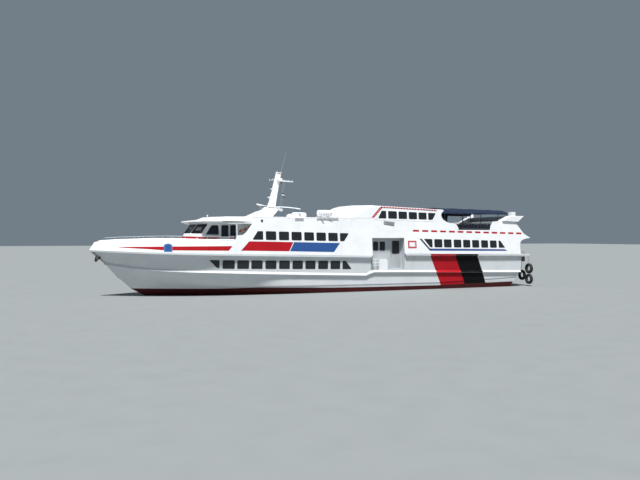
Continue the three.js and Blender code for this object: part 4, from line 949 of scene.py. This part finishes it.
form = Form().loft([oblong(3.82, 4.95, half, z, 0.1) for z, half in PLATFORM_LEVELS])
plate(form, [((x, half, z), (x, -half, z)) for x, half, z in TONGUE_ROWS], 0.045)
for side in (1, -1):
    plate(form, [[(x, side * y, z) for x, y, z in ends] for ends in WING_ROWS], 0.055)
form.lathe(HORN, (5.14, 0, 6.63), (1, 0, 0), 20, mark=1)
form.box((5.16, -0.03, 6.61), (5.24, 0.03, 6.71), mark=1)
piece("mast_deck", form, [WHITE, GREY], replaces=["mast_platform"])

# Roof: locker and aerial
LOCKER = [(3.56, 5.771), (3.53, 5.97), (3.42, 6.07), (2.74, 6.12), (2.62, 6.03), (2.56, 5.771)]
form = Form().solid(rounded(LOCKER, 0.08), flat_wall(0.9), 0, 1.0, 0.05)
for x in (2.85, 3.3):
    form.box((x - 0.03, 1.89, 5.9), (x + 0.03, 1.908, 5.94), 0.006, mark=1)
piece("roof_locker_box", form, [WHITE, STEEL], replaces=["roof_locker"])
form = Form().tube([(9.8, 1.0, 5.755), (9.8, 1.0, 5.86)], 0.03, 12)
form.lathe([(0, 0.02), (0.02, 0.055), (0.045, 0.06), (0.065, 0.04), (0.075, 0.0)], (9.8, 1.0, 5.85), sides=20)
piece("roof_aerials", form, [WHITE])

# Louvres: a grey one in the roof's side, a vent on the third deck's side, and blades as [out, rise]
LOUVRE = rectangle(3.7, 2.94, 5.74, 5.49)
LOUVRE_BLADE = [(0.008, 0.016), (0.03, -0.008), (0.026, -0.014), (0.004, 0.008)]
VENT = [(-3.82, 5.58), (-4.86, 5.48), (-4.74, 5.14), (-3.82, 5.28)]
VENT_BLADE = [(0.01, 0.014), (0.04, -0.008), (0.035, -0.014), (0.006, 0.006)]
BLADES = 6


def bar(form, ends, section):
    form.loft([[side_wall(x, z + rise, out) for out, rise in section] for x, z in ends])


form = Form().solid(rounded(LOUVRE, 0.02), side_wall, -0.01, 0.012, 0.005, mark=1)
form.solid(rounded(VENT, 0.03), side_wall, -0.01, 0.014, 0.005)
for i in range(BLADES):
    bar(form, [(x, 5.52 + i * 0.036) for x in (3.66, 2.98)], LOUVRE_BLADE)
    bar(form, [(-3.88, 5.53 - i * 0.042), (-4.74, 5.45 - i * 0.05)], VENT_BLADE)
pair("roof_louvre", form, [GREY, WHITE])

# Life-raft canisters on their saddles, as profiles of [run, radius] and [y, z], and the racks below them
RAFT = {"x": 0.42, "y": 2.72, "z": 6.11, "straps": (0.75, 1.35)}
DRUM = both_halves([(0.0, 0.0), (0.01, 0.1), (0.035, 0.18), (0.08, 0.222), (0.12, 0.235), (0.6, 0.24),
                    (0.61, 0.255)], 0.63)
STRAP = [(0, 0.238), (0.004, 0.246), (0.041, 0.246), (0.045, 0.238)]
SADDLE = [(2.44, 5.771), (3.1, 5.771), (2.98, 6.05), (2.86, 5.93), (2.72, 5.875), (2.58, 5.93), (2.46, 6.05)]
RACK = {"ends": (0.13, 1.89), "posts": (0.13, 0.57, 1.01, 1.45, 1.89), "slats": 5, "arms": (0.13, 1.0, 1.89)}
SLAT = rectangle(0.03, 0.05, -0.013, 0.013)
POST = rectangle(-0.02, 0.02, 0.004, 0.056)
# Brackets as [x, z, depth] at the top and at the foot
BRACKETS = [((1.5, 5.6, 0.05), (1.34, 5.3, 0.008)), ((0.88, 5.6, 0.05), (0.6, 5.44, 0.008))]
form = Form().lathe(DRUM, (RAFT["x"], RAFT["y"], RAFT["z"]), (1, 0, 0), 32)
for x in RAFT["straps"]:
    form.lathe(STRAP, (x - 0.02, RAFT["y"], RAFT["z"]), (1, 0, 0), 32, mark=1)
    form.solid(SADDLE, lambda y, z, out, x=x: (x + out, y, z), -0.045, 0.045, 0.008, mark=2)
pair("liferaft_canister", form, [WHITE, WHITE, PALE_GREY], replaces=["liferaft"])
form = Form()
for i in range(RACK["slats"]):
    bar(form, [(x, 5.635 + i * 0.042) for x in RACK["ends"]], SLAT)
for x in RACK["posts"]:
    form.loft([[side_wall(x + run, z, out) for run, out in POST] for z in (5.6, 5.84)])
for x in RACK["arms"]:
    form.tube([side_wall(x, 5.8, 0.03), (x, 2.95, 5.81)], 0.02, 8)
for ends in BRACKETS:
    form.loft([[side_wall(x + run, z, out) for run, out in rectangle(-0.06, 0.06, 0, depth)]
               for x, z, depth in ends], mark=1)
pair("liferaft_rack", form, [PALE_GREY, GREY])

# Raked front of the third deck as [z, x of the middle face, its half width, x of the side face], with screens
HOUSE_FRONT = [(5.77, 0.1, 1.9, -1.15), (6.07, -0.45, 1.8, -1.7), (6.5, -1.23, 1.6, -2.45),
               (6.72, -1.64, 1.45, -2.85)]
RIB = [(-0.008, 0.014), (0.008, 0.014), (0.0, 0.03)]
SCREEN_LOW, SCREEN_HIGH, SCREEN_RIBS = 6.32, 6.66, 9
FRONT_OUT, TURN_OUT = Vector((0.9, 0, 0.4)), Vector((0.62, 0.66, 0.42))


def front_wall(u, z, out=0.0):
    fore, half, turn = [along([(row[0], row[k]) for row in HOUSE_FRONT], z) for k in (1, 2, 3)]
    if u <= 1:
        return Vector((fore, half * u, z)) + FRONT_OUT * out
    return Vector((fore, half, z)).lerp(Vector((turn, side_y(z), z)), u - 1) + TURN_OUT * out


form = Form()
for left, right in ((0.06, 0.46), (0.54, 0.94)):
    outline = rounded(rectangle(left, right, SCREEN_LOW, SCREEN_HIGH), 0.03)
    form.solid(outline, front_wall, -0.01, 0.016, 0.006, mark=1)
    for i in range(SCREEN_RIBS):
        u = between(left, right, (i + 0.75) / (SCREEN_RIBS + 0.5))
        form.loft([[front_wall(u + run, z, out) for run, out in RIB]
                   for z in (SCREEN_LOW + 0.02, SCREEN_HIGH - 0.02)])
pair("front_screens", form, [PALE_GREY, GREY])

# Life ring beside the wheelhouse, in eight parts of two colours, and the round lamp on the side
RING = {"x": 7.4, "y": 2.372, "z": 4.62, "radius": 0.29, "tube": 0.062, "swell": 0.004, "parts": 8}
LENS = [(0, 0.085), (0.02, 0.08), (0.035, 0.05), (0.04, 0.0)]
form = Form()
for part in range(RING["parts"]):
    tube = RING["tube"] + RING["swell"] * (part % 2)
    section = [(RING["radius"] + tube * cos(b), RING["y"] + tube * sin(b)) for b in circle(14)]
    angles = [tau * (part + share) / RING["parts"] for share in shares(6)]
    form.loft([[(RING["x"] + reach * cos(a), y, RING["z"] + reach * sin(a)) for reach, y in section]
               for a in angles], mark=part % 2)
for low, high in ((4.25, 4.29), (4.92, 4.98)):
    form.box((7.32, 2.3, low), (7.48, 2.36, high), 0.006, mark=2)
pair("life_ring", form, [ORANGE, WHITE, STEEL])
outward = (0, 1, LEAN)
form = Form().lathe([(0, 0.1), (0.03, 0.1), (0.04, 0.09)], side_wall(6.27, 5.48, -0.01), outward, 20)
form.lathe(LENS, side_wall(6.27, 5.48, 0.025), outward, 20, mark=1)
pair("side_lamp", form, [STEEL, DARK])

# Helm: screens and wheel on the console, and a padded chair on its pedestal
CONSOLE_SCREENS_Y = (-0.9, -0.35, 0.35, 0.9)
CONSOLE_FOOT = Vector((9.98, 0, 4.17))
CONSOLE_SLOPE, CONSOLE_OUT = Vector((0.9, 0, 0.38)), Vector((-0.38, 0, 0.92))
HUB = Vector((9.8, 0, 4.07))
WHEEL_RADIUS, WHEEL_STEPS = 0.2, 28
wheel_up = Vector((0.3, 0, 1)).normalized()


def console_face(y, rise, out):
    return CONSOLE_FOOT + Vector((0, y, 0)) + CONSOLE_SLOPE * rise + CONSOLE_OUT * out


def on_wheel(angle, radius):
    return HUB + turned(Vector((0, 1, 0)), wheel_up, angle) * radius


form = Form()
for y in CONSOLE_SCREENS_Y:
    form.solid(rounded(rectangle(y - 0.2, y + 0.2, 0.03, 0.3), 0.03), console_face, 0.0, 0.03, 0.008)
form.lathe([(0, 0.03), (0.12, 0.025)], (9.93, 0, 4.03), (-1, 0, 0.3), 12, mark=1)
form.tube([on_wheel(tau * share, WHEEL_RADIUS) for share in shares(WHEEL_STEPS)], 0.014, 8, mark=1)
for a in (0.5, 2.6, 4.71):
    form.tube([HUB, on_wheel(a, WHEEL_RADIUS - 0.005)], 0.01, 8, mark=1)
piece("helm_fittings", form, [GLASS, STEEL])


# A crowned pillow: powers that make it full in plan, at its rim and in height, and the pull at its corners
PILLOW = {"around": 72, "levels": 18, "plan": 0.4, "rim": 0.35, "height": 0.6, "pull": 0.03, "crown": 0.25}


def fuller(value, power):
    return copysign(abs(value) ** power, value)


def cushion(name, centre, size, turn):
    half = [length / 2 for length in size]
    rings = []
    for share in shares(PILLOW["levels"]):
        a = pi * (share - 0.5)
        lift = fuller(sin(a), PILLOW["height"])
        flat = max(1e-3, cos(a)) ** PILLOW["rim"]
        ring = []
        for b in circle(PILLOW["around"]):
            x, y = [fuller(part, PILLOW["plan"]) for part in (cos(b), sin(b))]
            pull = 1 - PILLOW["pull"] * (1 - abs(abs(x) - abs(y)))
            crown = 1 + PILLOW["crown"] * (1 - min(1, (x * flat) ** 2)) * (1 - min(1, (y * flat) ** 2))
            local = Vector((x * flat * half[0] * pull, y * flat * half[1] * pull, lift * half[2] * crown))
            ring.append(Vector(centre) + Matrix.Rotation(turn, 3, "Y") @ local)
        rings.append(ring)
    made = piece(name, Form().loft(rings), [LEATHER], smooth=60)


PEDESTAL = [(0, 0.2), (0.02, 0.2), (0.03, 0.08), (0.05, 0.055), (0.56, 0.055), (0.58, 0.09), (0.6, 0.09)]
form = Form().lathe(PEDESTAL, (9.0, 0, deck_z(9.0) + 0.001))
form.box((8.8, -0.22, 3.655), (9.22, 0.22, 3.69))
form.box((8.68, -0.06, 3.66), (8.76, 0.06, 4.1), 0.012)
for y in (-0.29, 0.29):
    form.tube([(8.74, y * 0.8, 3.9), (8.74, y, 3.95), (8.78, y, 3.98), (9.1, y, 3.98)], 0.022, mark=1)
piece("helm_chair", form, [STEEL, DARK], replaces=["helm_seat"])
cushion("helm_chair_pad", (9.02, 0, 3.755), (0.5, 0.5, 0.13), 0)
cushion("helm_chair_back", (8.765, 0, 4.13), (0.64, 0.46, 0.12), radians(84))

# Sun deck: the rail's tubes as [z, radius], its posts, and a toe board
SUN_DECK_Z = 4.5803
RAIL_Y = side_y(5.1) - 0.045
RAIL_TUBES = [(5.4, 0.026), (5.31, 0.012), (5.22, 0.014), (5.13, 0.012), (5.04, 0.014)]
RAIL_POSTS = {"aft": -13.99, "pitch": 0.375, "count": 9, "ends": (4.8606, 5.4), "radii": (0.022, 0.012)}
form = Form()
for z, radius in RAIL_TUBES:
    form.tube([(-14.02, RAIL_Y, z), (-10.96, RAIL_Y, z)], radius, 12)
for i in range(RAIL_POSTS["count"]):
    x = RAIL_POSTS["aft"] + i * RAIL_POSTS["pitch"]
    form.tube([(x, RAIL_Y, z) for z in RAIL_POSTS["ends"]], RAIL_POSTS["radii"][i % 2])
form.box((-13.97, RAIL_Y - 0.01, 4.87), (-11.01, RAIL_Y + 0.012, 5.05), 0.004, mark=1)
pair("deck_rail", form, [DARK_TUBE, DARK], replaces=["sun_deck_rail"])

# Seats: rows by x, three in a row by y, and the shell's line as [run, rise]
SEAT_ROWS = (-11.0, -12.0, -13.0, -14.0, -15.0)
SEATS_Y = (1.04, 1.5, 1.96)
SEAT_LINE = [(0.22, 0.315), (0.215, 0.35), (0.16, 0.365), (0.02, 0.35), (-0.1, 0.34), (-0.15, 0.37),
             (-0.175, 0.45), (-0.2, 0.62), (-0.225, 0.78), (-0.222, 0.82)]
SEAT_HALF, SEAT_TAPER, SEAT_THIN = 0.215, 0.03, 0.009
SEAT_DISH, DISH_SPREAD = 0.035, 1.1
SEAT_STEPS = 8


def seat(form, x, y):
    rings = []
    last = len(SEAT_LINE) - 1
    for i, (run, rise) in enumerate(SEAT_LINE):
        share = i / last
        half = SEAT_HALF - SEAT_TAPER * share ** 3
        dish = SEAT_DISH * sin(pi * min(1, share * DISH_SPREAD))
        way = Vector(SEAT_LINE[min(last, i + 1)]) - Vector(SEAT_LINE[max(0, i - 1)])
        normal = Vector((way.y, -way.x)).normalized()
        ring = []
        for face in (1, -1):
            for side in shares(SEAT_STEPS):
                v = (2 * side - 1) * face
                sunk = normal * (dish * v * v + SEAT_THIN * face)
                ring.append((x + run + sunk.x, y + half * v, SUN_DECK_Z + rise + sunk.y))
        rings.append(ring)
    form.loft(rings)


form = Form().box((-15.3, 1.47, SUN_DECK_Z), (-10.7, 1.53, SUN_DECK_Z + 0.1), mark=1)
for x in SEAT_ROWS:
    form.box((x - 0.03, 0.82, SUN_DECK_Z + 0.24), (x + 0.03, 2.18, SUN_DECK_Z + 0.29), 0.008, mark=1)
    for y in (1.1, 1.9):
        for run, side, height in ((0.025, 0.025, 0.25), (0.16, 0.03, 0.02)):
            form.box((x - run, y - side, SUN_DECK_Z), (x + run, y + side, SUN_DECK_Z + height), 0.006, mark=1)
    for y in SEATS_Y:
        seat(form, x, y)
pair("deck_seats", form, [SEAT, STEEL], replaces=["seats"], smooth=50)

# Canopy: its frame of stanchions, side rails and hoops, with the cloth's edge and crest by x
CANOPY_EDGE_Z = [(-16.3, 6.34), (-9.65, 6.33)]
CANOPY_CREST_Z = [(-16.3, 6.655), (-14.5, 6.715), (-12, 6.765), (-9.65, 6.785)]
STANCHIONS_X = (-9.9, -11.7, -13.5, -15.3)
HOOPS_X = (*STANCHIONS_X, -16.2)
HOOP_STEPS = 12
CANOPY_RAIL_Y = 2.65
RAIL_SECTION = rounded(rectangle(-0.025, 0.025, -0.05, -0.001), 0.005, 1)


def awning_height(x, y):
    edge, crest = along(CANOPY_EDGE_Z, x) + 0.012, along(CANOPY_CREST_Z, x)
    return edge + (crest - edge) * (1 - (abs(y) / CANOPY_RAIL_Y) ** 4)


form = Form()
for x in STANCHIONS_X:
    head = along(CANOPY_EDGE_Z, x)
    for y in (-CANOPY_RAIL_Y, CANOPY_RAIL_Y):
        form.tube([(x, y, SUN_DECK_Z), (x, y, head - 0.02)], 0.028, 16)
        form.lathe([(0, 0.07), (0.012, 0.07), (0.02, 0.03)], (x, y, SUN_DECK_Z), sides=16)
    form.box((x - 0.02, -CANOPY_RAIL_Y, head - 0.05), (x + 0.02, CANOPY_RAIL_Y, head - 0.01), 0.006)
for rail_y in (CANOPY_RAIL_Y, -CANOPY_RAIL_Y):
    form.loft([[(x, rail_y + across, along(CANOPY_EDGE_Z, x) + rise) for across, rise in RAIL_SECTION]
               for x in (-16.25, -9.87)])
for x in HOOPS_X:
    places_y = [CANOPY_RAIL_Y * k / HOOP_STEPS for k in range(-HOOP_STEPS, HOOP_STEPS + 1)]
    form.tube([(x, y, awning_height(x, y) - 0.022) for y in places_y], 0.018)
for y in (-2.6, 2.6):
    form.tube([(-16.2, y, 6.09), (-16.2, y, 6.36)], 0.028, 12)
piece("canopy_tubes", form, [DARK_TUBE], replaces=["canopy_frame"])

# Its cloth sags between the hoops, and ends in a rippled skirt along each side
AWNING = {"fore": -9.68, "aft": -16.28, "long": 66, "wide": 40, "half": 2.69, "thick": 0.004, "sag": 0.035,
          "skirt_from": 0.94, "skirt": 0.13, "ripple": 0.006, "flare": 0.025, "lip": 0.1, "lip_drop": 0.03}


def awning_row(x, layer):
    fore_hoop = min([at for at in HOOPS_X if at >= x], default=x)
    aft_hoop = max([at for at in HOOPS_X if at <= x], default=x)
    span = fore_hoop - aft_hoop
    slack = AWNING["sag"] * 4 * (fore_hoop - x) * (x - aft_hoop) / span ** 2 if span > 0.01 else 0
    drop = AWNING["lip_drop"] * max(0, 1 - abs(x - AWNING["fore"]) / AWNING["lip"])
    row = []
    for j in range(AWNING["wide"] + 1):
        v = 2 * j / AWNING["wide"] - 1
        side = 1 if v > 0 else -1
        skirt = max(0, abs(v) - AWNING["skirt_from"]) / (1 - AWNING["skirt_from"])
        y = AWNING["half"] * min(1, abs(v) / AWNING["skirt_from"])
        z = awning_height(x, min(CANOPY_RAIL_Y, y)) - slack * (1 - abs(v) ** 3) - AWNING["skirt"] * skirt
        ripple = skirt * (AWNING["ripple"] * sin(7 * x) + AWNING["flare"] * side)
        row.append((x, y * side + ripple, z - drop * (1 - skirt) + AWNING["thick"] * (1 - layer)))
    return row


rows_x = [between(AWNING["fore"], AWNING["aft"], share) for share in shares(AWNING["long"])]
form = Form().grid([[awning_row(x, layer) for x in rows_x] for layer in (0, 1)])
awning = piece("canopy_cloth", form, [CLOTH], replaces=["canopy"], smooth=50)

# Side curtains gathered at the fore corners of the awning. Their cut width is the length of the folded line
CURTAIN = {"fore": -9.72, "aft": -10.28, "y": 2.5, "low": 4.62, "high": 6.27, "folds": 7, "depth": 0.085,
           "steps": 112, "rows": 12, "thick": 0.003, "pinch": 0.14}
line = [(between(CURTAIN["fore"], CURTAIN["aft"], u), CURTAIN["depth"] * sin(tau * CURTAIN["folds"] * u))
        for u in shares(CURTAIN["steps"])]
middle = (CURTAIN["fore"] + CURTAIN["aft"]) / 2
rings = []
for v in shares(CURTAIN["rows"]):
    pinch = 1 - CURTAIN["pinch"] * sin(pi * v) ** 2
    z = between(CURTAIN["low"], CURTAIN["high"], v)
    face = [Vector((middle + (x - middle) * pinch, CURTAIN["y"] + wave, z)) for x, wave in line]
    rings.append(face + [p + Vector((0, CURTAIN["thick"], 0)) for p in reversed(face)])
form = Form().loft(rings)
for side, shape in zip(SIDES, (form, form.mirrored())):
    drape = piece(f"side_curtain_{side}", shape, [CLOTH], smooth=60)

# Bitts on the stern platform and the foredeck, and the windlass, with profiles as [rise, radius]
STERN_BITT = [(0, 0.09), (0.02, 0.09), (0.03, 0.055), (0.2, 0.055), (0.22, 0.07), (0.24, 0.07), (0.25, 0.0)]
BOW_BITT = [(0, 0.1), (0.02, 0.1), (0.03, 0.06), (0.24, 0.06), (0.26, 0.075), (0.29, 0.075), (0.3, 0.0)]
CAPSTAN = [(0, 0.16), (0.03, 0.17), (0.08, 0.12), (0.26, 0.11), (0.31, 0.17), (0.35, 0.16), (0.37, 0.05),
           (0.38, 0.0)]
CHAIN = [(15.72, 0.1, 0.16), (16.1, 0.05, 0.09), (16.5, 0, 0.1)]
form = Form()
for x in (-17.58, -17.9):
    form.lathe(STERN_BITT, (x, 2.95, deck_z(x) + 0.001), sides=20)
form.tube([(x, 2.95, deck_z(x) + 0.13) for x in (-17.5, -17.98)], 0.03)
form.box((-18.03, 2.84, deck_z(-17.8) + 0.0005), (-17.45, 3.06, deck_z(-17.8) + 0.02), 0.006)
pair("stern_bitts", form, [STEEL])
BOW_BITT_X = 14.75
form = Form()
for y in (1.45, 1.75):
    form.lathe(BOW_BITT, (BOW_BITT_X, y, deck_z(BOW_BITT_X) + 0.001), sides=20)
form.tube([(BOW_BITT_X, y, deck_z(BOW_BITT_X) + 0.15) for y in (1.36, 1.84)], 0.03)
pair("bow_bitts", form, [STEEL])
foredeck_z = deck_z(15.6)
form = Form().box((15.3, -0.32, foredeck_z - 0.02), (15.95, 0.32, foredeck_z + 0.1), 0.02)
form.lathe(CAPSTAN, (15.6, 0, foredeck_z + 0.09))
form.tube([(x, y, foredeck_z + rise) for x, y, rise in CHAIN], 0.022, 8)
form.lathe([(0, 0.12), (0.05, 0.1), (0.07, 0.06)], (16.5, 0, foredeck_z + 0.06), sides=20)
piece("windlass", form, [STEEL])

# A small fender at each quarter, and the tyres at the stern, all on ropes
FENDER = [(0.0, 0.0), (0.02, 0.1), (0.06, 0.14), (0.4, 0.14), (0.44, 0.1), (0.46, 0.0)]
FENDER_ROPE = [(-17.47, 3.3, 2.58), (-17.47, 3.44, 2.68), (-17.47, 3.44, 2.79), (-17.47, 3.2, 2.815)]
form = Form().lathe(FENDER, (-17.49, 3.3, 2.15), sides=20)
form.tube(FENDER_ROPE, 0.012, 8, mark=1)
pair("quarter_fender", form, [RUBBER, ROPE])

# Tyres as [y, heights], with the section as [run, radius] and a groove at each third step of the tread
TYRES = {"upper": (2.24, [0.92]), "lower": (3.15, [0.62, 1.54])}
TYRE_X = -18.235
TYRE_SECTION = both_halves([(0.04, 0.21), (0.1, 0.25), (0.12, 0.33), (0.11, 0.4), (0.08, 0.44), (0.03, 0.45)])
TREAD_FROM, GROOVE = 0.42, 0.012
for name, (y, heights) in TYRES.items():
    form = Form()
    for z in heights:
        rings = []
        for k, a in enumerate(circle(72)):
            groove = GROOVE if k % 3 == 0 else 0
            section = [(run, radius - (groove if radius > TREAD_FROM else 0)) for run, radius in TYRE_SECTION]
            rings.append([(TYRE_X + run, y + cos(a) * radius, z + sin(a) * radius)
                          for run, radius in section])
        form.loft(rings, wrap=True)
    low, top = heights[0], deck_z(-18.1) + 0.02
    rope = [(TYRE_X, low + 0.23), (TYRE_X, low + 0.47), (-18.13, top - 0.05), (-18.1, top), (-17.8, top)]
    form.tube([(x, y, z) for x, z in rope], 0.018, mark=1)
    piece(f"tyre_{name}", form, [RUBBER, ROPE], replaces=[f"tyre_fender_{name}"])
